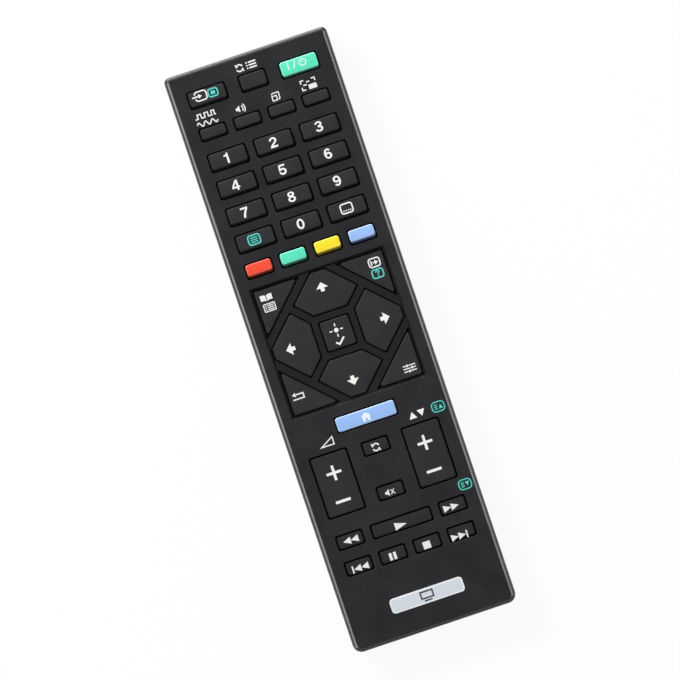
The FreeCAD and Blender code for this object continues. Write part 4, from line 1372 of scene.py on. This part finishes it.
@dataclass
class Housing:
    """The two halves of the casing and the battery door."""

    edge: float = 0.14
    rim_edge: float = 0.3
    rim_inset: float = 1.9
    recess_low: float = 18.0
    recess_high: float = 18.5
    deck_low: float = 17.4
    well_low: float = 17.2
    recess_share: float = 0.5
    inner_share: float = 0.3
    tolerance: float = 0.01
    bevel_tilts: tuple[float, float] = (0.3, 0.995)
    highlight_tilt: float = 0.75
    wall_tilt: float = 0.5
    floor_tilt: float = 0.9
    plastic: MouldedPlastic = MouldedPlastic(
        "casing_plastic", "casing", "#232325", "#19191b", grain_size=0.45, grain_height=0.05)
    polished: MouldedPlastic = MouldedPlastic(
        "bevel_plastic", "casing", "#222224", "#1d1d1f",
        smooth=0.3, rough=0.36, specular=0.5, grain_size=0.6, grain_height=0.0006)
    # A pale colour on the bevel's inner rounding: a painted highlight line.
    painted_highlight: MouldedPlastic = MouldedPlastic(
        "painted_highlight_plastic", "casing", "#8c8c8e", "#78787a",
        smooth=0.3, rough=0.4, specular=0.5, grain_size=0.6, grain_height=0.0006)
    # Near-black on the walls of the key openings: painted shade in the wells.
    painted_well_shade: MouldedPlastic = MouldedPlastic(
        "painted_well_shade_plastic", "casing", "#070708", "#050506", smooth=0.6, rough=0.7, specular=0.06)
    # Darker than the deck on the floor of the key recess: painted shade.
    painted_recess_shade: MouldedPlastic = MouldedPlastic(
        "painted_recess_shade_plastic", "casing", "#131315", "#0d0d0f", grain_size=0.45, grain_height=0.03)
    corner: Vector = field(default_factory=lambda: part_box("front_casing")[1] / MM)

    def at_rim(self, point: Vector) -> bool:
        """Whether a point lies on the bevel round the deck."""
        across, along = abs(point.x) / MM, abs(point.y) / MM
        return across > self.corner.x - self.rim_inset or along > self.corner.y - self.rim_inset

    def share(self, middle: Vector) -> float:
        """How much of the rim's rounding an edge of the front takes: less away from the rim.

        Args:
            middle: The edge's middle, in metres.

        Returns:
            The part of the width that the edge takes.
        """
        height = middle.z / MM
        usual = self.edge / self.rim_edge
        if height > self.corner.z - self.tolerance and self.at_rim(middle):
            return 1.0
        if self.recess_low < height < self.recess_high:
            return usual * self.recess_share
        return usual * self.inner_share if height < self.deck_low else usual

    def polish_bevel(self, shell: bpy.types.Object) -> None:
        """Polish the bevel round the deck, paint a highlight on the inner rounding of its long sides, and
        paint shade on the recess floor and the openings' walls.

        Args:
            shell: The front casing's moulding.
        """
        for finish in (self.polished, self.painted_highlight, self.painted_well_shade, self.painted_recess_shade):
            shell.data.materials.append(finish.material())
        polished, painted_highlight, painted_well_shade, painted_recess_shade = range(1, 5)
        inner = self.corner.y - self.rim_inset
        for face in shell.data.polygons:
            along, height = abs(face.center.y) / MM, face.center.z / MM
            tilt = face.normal.z
            if self.at_rim(face.center):
                if self.bevel_tilts[0] < tilt < self.bevel_tilts[1]:
                    # The inner rounding of the long sides gets the painted highlight; the rest of the bevel
                    # stays polished.
                    face.material_index = painted_highlight if tilt > self.highlight_tilt and along < inner else polished
            # The openings' walls get the painted shade.
            elif abs(tilt) < self.wall_tilt and height > self.well_low:
                face.material_index = painted_well_shade
            # The recess floor gets the painted shade.
            elif tilt > self.floor_tilt and self.recess_low < height < self.recess_high:
                face.material_index = painted_recess_shade

    def build(self) -> list[str]:
        """Dress the halves and the door, and name them.

        Returns:
            The pieces' names.
        """
        material = self.plastic.material()
        made = []
        for node in ("front_casing", "rear_casing", "battery_door"):
            front = node == "front_casing"
            shell = moulding(node, self.rim_edge, 3, self.share) if front else moulding(node, self.edge)
            dress(shell, material)
            if front:
                self.polish_bevel(shell)
            made.append(shell.name)
        return made


@dataclass
class Keypad:
    """All keys and rockers with the signs on them."""

    press: Press
    cap_edge: float = 0.08
    dot_height: float = 0.2
    dotted: tuple[str, ...] = ("number_key_5", "play_key", "programme_rocker")
    deck_level: float = 19.0
    flange_level: float = 17.4
    flank_tilt: float = 0.3
    row_pitch: float = 8.0
    # Near-black below the deck: painted shade on the key flanges and the sunk keys' sides.
    painted_flank_shade: MouldedPlastic = MouldedPlastic(
        "painted_flank_shade_plastic", "key", "#0a0a0b", "#070708", smooth=0.6, rough=0.7, specular=0.06)
    plain: MouldedPlastic = MouldedPlastic(
        "key_plastic", "key", "#262628", "#202022",
        smooth=0.45, rough=0.6, specular=0.16, grain_size=0.16, grain_height=0.008, cloud_size=5.0)
    # Each cap: its colour, the painted shade low on its sides, and the painted rim highlight.
    coloured: dict[str, ColouredCap] = field(default_factory=lambda: {
        "power_key": ColouredCap("mint_plastic", "mint", "#58e6bd", "#1f8a68", "#9cf6da",
                                 shade_height=18.8, face_height=19.9),
        "home_key": ColouredCap("sky_plastic", "sky", "#98c0f6", "#3f66b4", "#c4dcfb",
                                shade_height=18.6, face_height=19.3),
        "red_key": ColouredCap("red_plastic", "red", "#f44830", "#7a150b", "#f9745e"),
        "green_key": ColouredCap("green_plastic", "green", "#5ae4be", "#12694f", "#93f3d8"),
        "yellow_key": ColouredCap("yellow_plastic", "yellow", "#ffe528", "#937409", "#fff069"),
        "blue_key": ColouredCap("blue_plastic", "blue", "#9cc2f9", "#27429c", "#c6dcfc"),
    })

    def nodes(self) -> list[str]:
        """The keys' nodes."""
        keys = (node for node in frame["nodes"] if node.endswith(("_key", "_rocker")) or "number_key" in node)
        return sorted(keys)

    def level(self, node: str) -> float:
        """The height of a cap's face, in millimetres."""
        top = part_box(node)[1].z / MM
        return top - self.dot_height if node in self.dotted else top

    def caps(self) -> list[str]:
        """Make the caps, with painted shade on their flanges and on the sides of sunk keys.

        Returns:
            The caps' names.
        """
        plain = self.plain.material()
        painted_flank_shade = self.painted_flank_shade.material()
        made = []
        for node in self.nodes():
            cap = moulding(node, self.cap_edge)
            finish = self.coloured.get(node, self.plain)
            dress(cap, plain if finish is self.plain else finish.material())
            cap.data.materials.append(painted_flank_shade)
            sunk = self.level(node) < self.deck_level
            for face in cap.data.polygons:
                # Faces under the flange level, and the sides of sunk keys, get the painted shade.
                if face.center.z / MM < self.flange_level or (sunk and face.normal.z < self.flank_tilt):
                    face.material_index = 1
            made.append(cap.name)
        return made

    def digits(self) -> list[Print]:
        """The digits: one to nine in rows of three, and nought in the row below.

        Returns:
            The signs.
        """
        places = {0: (-0.22, 34.2)}
        first_row = ((-13.95, 58.2), (-0.22, 58.2), (13.25, 58.4))
        for digit in range(1, 10):
            row, column = divmod(digit - 1, 3)
            x, y = first_row[column]
            places[digit] = (x, y - self.row_pitch * row)
        return [Print(f"digit_{digit}_print", f"number_key_{digit}", DigitWriter().write(digit), *place)
                for digit, place in places.items()]

    def signs(self) -> list[Print]:
        """All signs on the keys but the digits.

        Returns:
            The signs.
        """
        writer = SignWriter()
        return [
            Print("entry_print", "input_key", writer.entry(), -15.7, 77.0),
            Print("input_screen_print", "input_key", writer.small_screen(), -11.75, 76.85, Ink.TEAL),
            Print("standby_print", "power_key", writer.standby(), 13.1, 77.05, Ink.FROST),
            Print("text_print", "text_key", writer.page(), -13.88, 34.2, Ink.TEAL),
            Print("captions_print", "subtitle_key", writer.captions(), 13.35, 34.3),
            Print("book_print", "guide_key", writer.book(), -15.9, 17.75),
            Print("listing_print", "guide_key", writer.listing(), -15.75, 14.95),
            Print("hint_print", "info_key", writer.hint(), 15.85, 17.5),
            Print("query_print", "info_key", writer.query(), 15.85, 14.3, Ink.TEAL),
            Print("up_print", "up_key", writer.arrow(0), -0.2, 15.65),
            Print("left_print", "left_key", writer.arrow(90), -13.9, 1.9),
            Print("right_print", "right_key", writer.arrow(-90), 13.7, 1.9),
            Print("down_print", "down_key", writer.arrow(180), -0.15, -11.75),
            Print("target_print", "select_key", writer.target(), -0.2, 2.96),
            Print("tick_print", "select_key", writer.tick(), -0.1, -0.25),
            Print("back_print", "return_key", writer.back(), -16.1, -11.1),
            Print("sliders_print", "options_key", writer.sliders(), 15.9, -13.6),
            Print("house_print", "home_key", writer.house(), 0.0, -22.6, Ink.MILK),
            Print("volume_plus_print", "volume_rocker", writer.plus(), -13.5, -34.65),
            Print("volume_minus_print", "volume_rocker", writer.minus(), -13.5, -42.85),
            Print("programme_plus_print", "programme_rocker", writer.plus(), 13.3, -34.65),
            Print("programme_minus_print", "programme_rocker", writer.minus(), 13.3, -42.85),
            Print("swap_print", "swap_key", writer.swap(), -0.1, -31.55),
            Print("mute_print", "mute_key", writer.mute(), -0.35, -44.75),
            Print("rewind_print", "rewind_key", writer.rewind(), -15.0, -53.95),
            Print("play_print", "play_key", writer.play(), -0.45, -54.4),
            Print("forward_print", "forward_key", writer.forward(), 14.45, -54.1),
            Print("previous_print", "previous_key", writer.previous(), -14.9, -62.1),
            Print("pause_print", "pause_key", writer.pause(), -5.3, -61.95),
            Print("stop_print", "stop_key", writer.stop(), 4.7, -62.0),
            Print("next_print", "next_key", writer.next(), 14.2, -62.5),
        ]

    def build(self) -> list[str]:
        """Make the caps and print every sign on them, and name them.

        Returns:
            The pieces' names.
        """
        made = self.caps()
        for item in self.digits() + self.signs():
            self.press.stamp(item, self.level(item.carrier))
            made.append(item.name)
        return made


@dataclass
class DeckPrint:
    """The signs printed on the deck beside the keys."""

    press: Press
    carrier: str = "front_casing"

    def signs(self) -> list[Print]:
        """The signs.

        Returns:
            The signs.
        """
        writer = SignWriter()
        return [
            Print("menu_sign", self.carrier, writer.menu(), -0.8, 80.9),
            Print("waves_sign", self.carrier, writer.waves(), -15.8, 70.5),
            Print("sound_sign", self.carrier, writer.sound(), -5.7, 70.1),
            Print("cube_sign", self.carrier, writer.cube(), 4.4, 70.1),
            Print("format_sign", self.carrier, writer.format(), 14.3, 70.6),
            Print("volume_sign", self.carrier, writer.volume(), -12.85, -25.85),
            Print("steps_sign", self.carrier, writer.steps(), 13.7, -26.4),
            Print("page_up_sign", self.carrier, writer.page_step(90), 19.95, -26.3, Ink.TEAL),
            Print("page_down_sign", self.carrier, writer.page_step(-90), 20.2, -49.25, Ink.TEAL),
        ]

    def build(self) -> list[str]:
        """Print the signs and name them.

        Returns:
            The pieces' names.
        """
        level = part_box(self.carrier)[1].z / MM
        signs = self.signs()
        for item in signs:
            self.press.stamp(item, level)
        return [item.name for item in signs]


@dataclass
class TailPlate:
    """The pale plate inlaid at the tail, with its printed field and sign."""

    press: Press
    border: float = 0.42
    corner: float = 0.8
    edge: float = 0.06
    plastic: MouldedPlastic = MouldedPlastic(
        "plate_plastic", "plate", "#f4f6f8", "#e6eaee",
        smooth=0.3, rough=0.42, specular=0.4, grain_size=0.3, grain_height=0.004)

    def build(self) -> list[str]:
        """Make the plate and what is printed on it, and name them.

        Returns:
            The pieces' names.
        """
        plate = moulding("name_plate", self.edge)
        dress(plate, self.plastic.material())
        low, high = (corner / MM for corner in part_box("name_plate"))
        middle = (low + high) / 2
        size = high - low
        pad = Stencil().pad(0, 0, size.x - 2 * self.border, size.y - 2 * self.border, self.corner)
        ground = Print("plate_field", "name_plate", pad, middle.x, middle.y, Ink.FIELD)
        self.press.stamp(ground, high.z)
        sign = Print("receiver_print", "name_plate", SignWriter().receiver(), middle.x, middle.y, Ink.DARK)
        self.press.stamp(sign, high.z + self.press.stand)
        return [plate.name, ground.name, sign.name]


@dataclass
class BatteryBay:
    """Two cells in printed sleeves, and the contacts that press on their ends."""

    radius: float = 5.25
    nub_radius: float = 1.9
    nub_length: float = 0.8
    sleeve_wall: float = 0.1
    sleeve_setback: float = 0.55
    sleeve_edge: float = 0.03
    band_end: float = 11.0
    contact_edge: float = 0.05
    bright: PlatedMetal = PlatedMetal("can_metal", "cell", "#c9cacc", "#a9aaad", lines=Vector((1, 6, 1)))
    plating: PlatedMetal = PlatedMetal("nickel_plating", "contact", "#c6c4bb", "#a5a297")

    def can(self, node: str, along: float) -> bpy.types.Object:
        """Turn the bare can of a cell, from its flat end to its nub.

        Args:
            node: The cell's node.
            along: One if its nub looks to +Y, minus one if to -Y.

        Returns:
            The can.
        """
        low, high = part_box(node)
        length = (high.y - low.y) / MM
        middle = (low + high) / 2
        start = Vector((middle.x, low.y if along > 0 else high.y, middle.z))
        body = self.radius - self.sleeve_wall
        top = length - self.nub_length
        nub = self.nub_radius
        profile = [(0.25, 2.6), (0.12, 3.2), (0, 3.6), (0, body - 0.45), (0.12, body - 0.15), (0.4, body),
                   (top - 0.75, body), (top - 0.5, body - 0.1), (top - 0.38, body - 0.35),
                   (top - 0.38, body - 0.8), (top - 0.75, body - 1.0), (top - 0.75, body - 1.2),
                   (top - 0.1, body - 1.35), (top, body - 1.6), (top, nub + 0.15), (top + 0.15, nub),
                   (length - 0.2, nub), (length - 0.05, nub - 0.12), (length, nub - 0.4)]
        return turned(node + "_can", start, along, profile)

    def sleeve(self, node: str, along: float) -> bpy.types.Object:
        """Shrink a printed sleeve round a cell.

        Args:
            node: The cell's node.
            along: One if its nub looks to +Y, minus one if to -Y.

        Returns:
            The sleeve.
        """
        low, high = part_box(node)
        middle = (low + high) / 2
        ends = [low.y, high.y - self.nub_length * MM] if along > 0 else [low.y + self.nub_length * MM, high.y]
        bottom, top = ends[0] + self.sleeve_setback * MM, ends[1] - self.sleeve_setback * MM
        bpy.ops.object.select_all(action="DESELECT")
        bpy.ops.mesh.primitive_cylinder_add(vertices=TURNED_SIDES, radius=self.radius * MM,
                                            depth=top - bottom, end_fill_type="NOTHING",
                                            rotation=(math.pi / 2, 0, 0),
                                            location=(middle.x, (bottom + top) / 2, middle.z))
        piece = bpy.context.object
        piece.name = piece.data.name = node + "_sleeve"
        bpy.ops.object.transform_apply(location=True, rotation=True, scale=True)
        with editing(piece):
            bpy.ops.mesh.subdivide(number_cuts=1)
        wall = piece.modifiers.new("wall", "SOLIDIFY")
        wall.thickness = self.sleeve_wall * MM
        wall.offset = -1
        bpy.ops.object.modifier_apply(modifier="wall")
        bevel_edges(piece, self.sleeve_edge)
        smooth_by_angle(piece)
        finish = CellSleeve(node + "_sleeve_print", "cell", middle, self.band_end * along, along)
        dress(piece, finish.material())
        return piece

    def build(self) -> list[str]:
        """Make the cells and the contacts, and name them.

        Returns:
            The pieces' names.
        """
        made = []
        can_material = self.bright.material()
        for node, along in (("battery_left", 1.0), ("battery_right", -1.0)):
            can = self.can(node, along)
            dress(can, can_material)
            body = frame["nodes"][node]["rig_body"]
            sleeve = self.sleeve(node, along)
            for piece in (can, sleeve):
                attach(piece, body)
                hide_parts(node)
                made.append(piece.name)
        metal = self.plating.material()
        for node in ("positive_contact", "negative_contact", "bridge_contact"):
            contact = moulding(node, self.contact_edge, 1)
            dress(contact, metal)
            made.append(contact.name)
        return made


@dataclass
class Electronics:
    """The keypad mat, the board and what is soldered to it."""

    edge: float = 0.05
    board_edge: float = 0.04
    can_edge: float = 0.08
    rubber: MouldedPlastic = MouldedPlastic(
        "mat_rubber", "mat", "#7d7d80", "#6d6d70",
        smooth=0.6, rough=0.8, specular=0.25, grain_size=0.4, grain_height=0.01)
    laminate: BoardLaminate = BoardLaminate("board_laminate", "board", "#5f7a2c", "#73903c")
    resin: MouldedPlastic = MouldedPlastic(
        "chip_resin", "chip", "#1b1b1c", "#232324",
        smooth=0.5, rough=0.7, specular=0.3, grain_size=0.12, grain_height=0.01, cloud_size=2.0)
    lens: TintedLens = TintedLens("lamp_resin", "lamp", "#1c0d26", "#2b1838")
    dip: MouldedPlastic = MouldedPlastic(
        "resonator_dip", "resonator", "#2f63a8", "#27548f",
        smooth=0.25, rough=0.4, specular=0.5, grain_size=0.8, grain_height=0.01, cloud_size=2.0)
    foil: PlatedMetal = PlatedMetal("capacitor_foil", "can", "#c3c5c9", "#a7a9ad", lines=Vector((1, 5, 1)))

    def build(self) -> list[str]:
        """Dress what lies inside, and name it.

        Returns:
            The pieces' names.
        """
        finishes = {"keypad_mat": self.rubber, "circuit_board": self.laminate, "controller_chip": self.resin,
                    "resistors": self.resin, "infrared_lamp": self.lens, "resonator": self.dip,
                    "capacitor": self.foil}
        edges = {"circuit_board": self.board_edge, "capacitor": self.can_edge}
        made = []
        for node, finish in finishes.items():
            piece = moulding(node, edges.get(node, self.edge), 1)
            dress(piece, finish.material())
            made.append(piece.name)
        return made


# The studio

@dataclass
class SoftBox:
    """A plain rectangular lamp that looks at a point."""

    name: str
    place: Vector
    aim: Vector
    width: float
    height: float
    radiance: float

    def build(self) -> None:
        """Hang the lamp."""
        lamp = bpy.data.lights.new(self.name, "AREA")
        lamp.shape = "RECTANGLE"
        lamp.size = self.width
        lamp.size_y = self.height
        lamp.energy = self.radiance * math.pi * self.width * self.height
        holder = bpy.data.objects.new(self.name, lamp)
        holder.location = self.place
        holder.rotation_euler = (self.aim - self.place).to_track_quat("-Z", "Y").to_euler()
        bpy.context.scene.collection.objects.link(holder)


@dataclass
class Studio:
    """Paper, lamps, sky and camera."""

    camera_height: float = 2.0
    frame_width: float = 189.9
    turn: float = 18.55
    centre: Vector = Vector((-0.1, 0.0, 0.0))
    face_level: float = 19.0
    paper_size: float = 6.0
    paper_gap: float = 0.1
    paper_cells: int = 24
    sky_level: float = 0.2
    lamps: tuple[SoftBox, ...] = (
        SoftBox("key_lamp", Vector((-0.55, 0.9, 1.4)), Vector(), width=0.35, height=0.35, radiance=70.0),
        SoftBox("head_strip", Vector((0.0, 1.2, 0.14)), Vector((0, 0.085, 0.018)),
                width=1.2, height=0.24, radiance=14.0),
    )

    def paper(self) -> None:
        """Lay the paper that the object lies on."""
        bpy.ops.object.select_all(action="DESELECT")
        bpy.ops.mesh.primitive_grid_add(x_subdivisions=self.paper_cells, y_subdivisions=self.paper_cells,
                                        size=self.paper_size, location=(0, 0, -self.paper_gap * MM))
        sheet = bpy.context.object
        sheet.name = "paper"
        dress(sheet, StudioPaper().material())

    def sky(self) -> None:
        """Light from all round, and white to the lens."""
        world = bpy.data.worlds.new("sky")
        bpy.context.scene.world = world
        world.use_nodes = True
        tree = world.node_tree
        back = tree.nodes["Background"]
        back.inputs["Color"].default_value = (1, 1, 1, 1)
        level = tree.nodes.new("ShaderNodeMapRange")
        level.inputs["To Min"].default_value = self.sky_level
        tree.links.new(rays_to_lens(tree), level.inputs["Value"])
        tree.links.new(level.outputs["Result"], back.inputs["Strength"])

    def camera(self) -> None:
        """Hang the camera over the object, turned as in the photograph."""
        lens = bpy.data.cameras.new("camera")
        distance = self.camera_height - self.face_level * MM
        lens.lens = lens.sensor_width * distance / (self.frame_width * MM)
        holder = bpy.data.objects.new("camera", lens)
        holder.location = (self.centre.x * MM, self.centre.y * MM, self.camera_height)
        holder.rotation_euler = (0, 0, math.radians(-self.turn))
        bpy.context.scene.collection.objects.link(holder)
        bpy.context.scene.camera = holder

    def build(self) -> list[str]:
        """Set the studio up, and name its lamps.

        Returns:
            The lamps' names.
        """
        bpy.context.scene.view_settings.view_transform = "Standard"
        self.paper()
        self.sky()
        for lamp in self.lamps:
            lamp.build()
        self.camera()
        return [lamp.name for lamp in self.lamps]


def main() -> None:
    """Build the studio and every sub-assembly."""
    logging.basicConfig(level=logging.INFO, format="%(name)s: %(message)s")
    press = Press()
    assemblies = [Studio(), Housing(), Keypad(press), DeckPrint(press), TailPlate(press), BatteryBay(),
                  Electronics()]
    for assembly in assemblies:
        made = assembly.build()
        log.info("%s: %d pieces: %s", type(assembly).__name__, len(made), ", ".join(made))


if __name__ == "__main__":
    main()
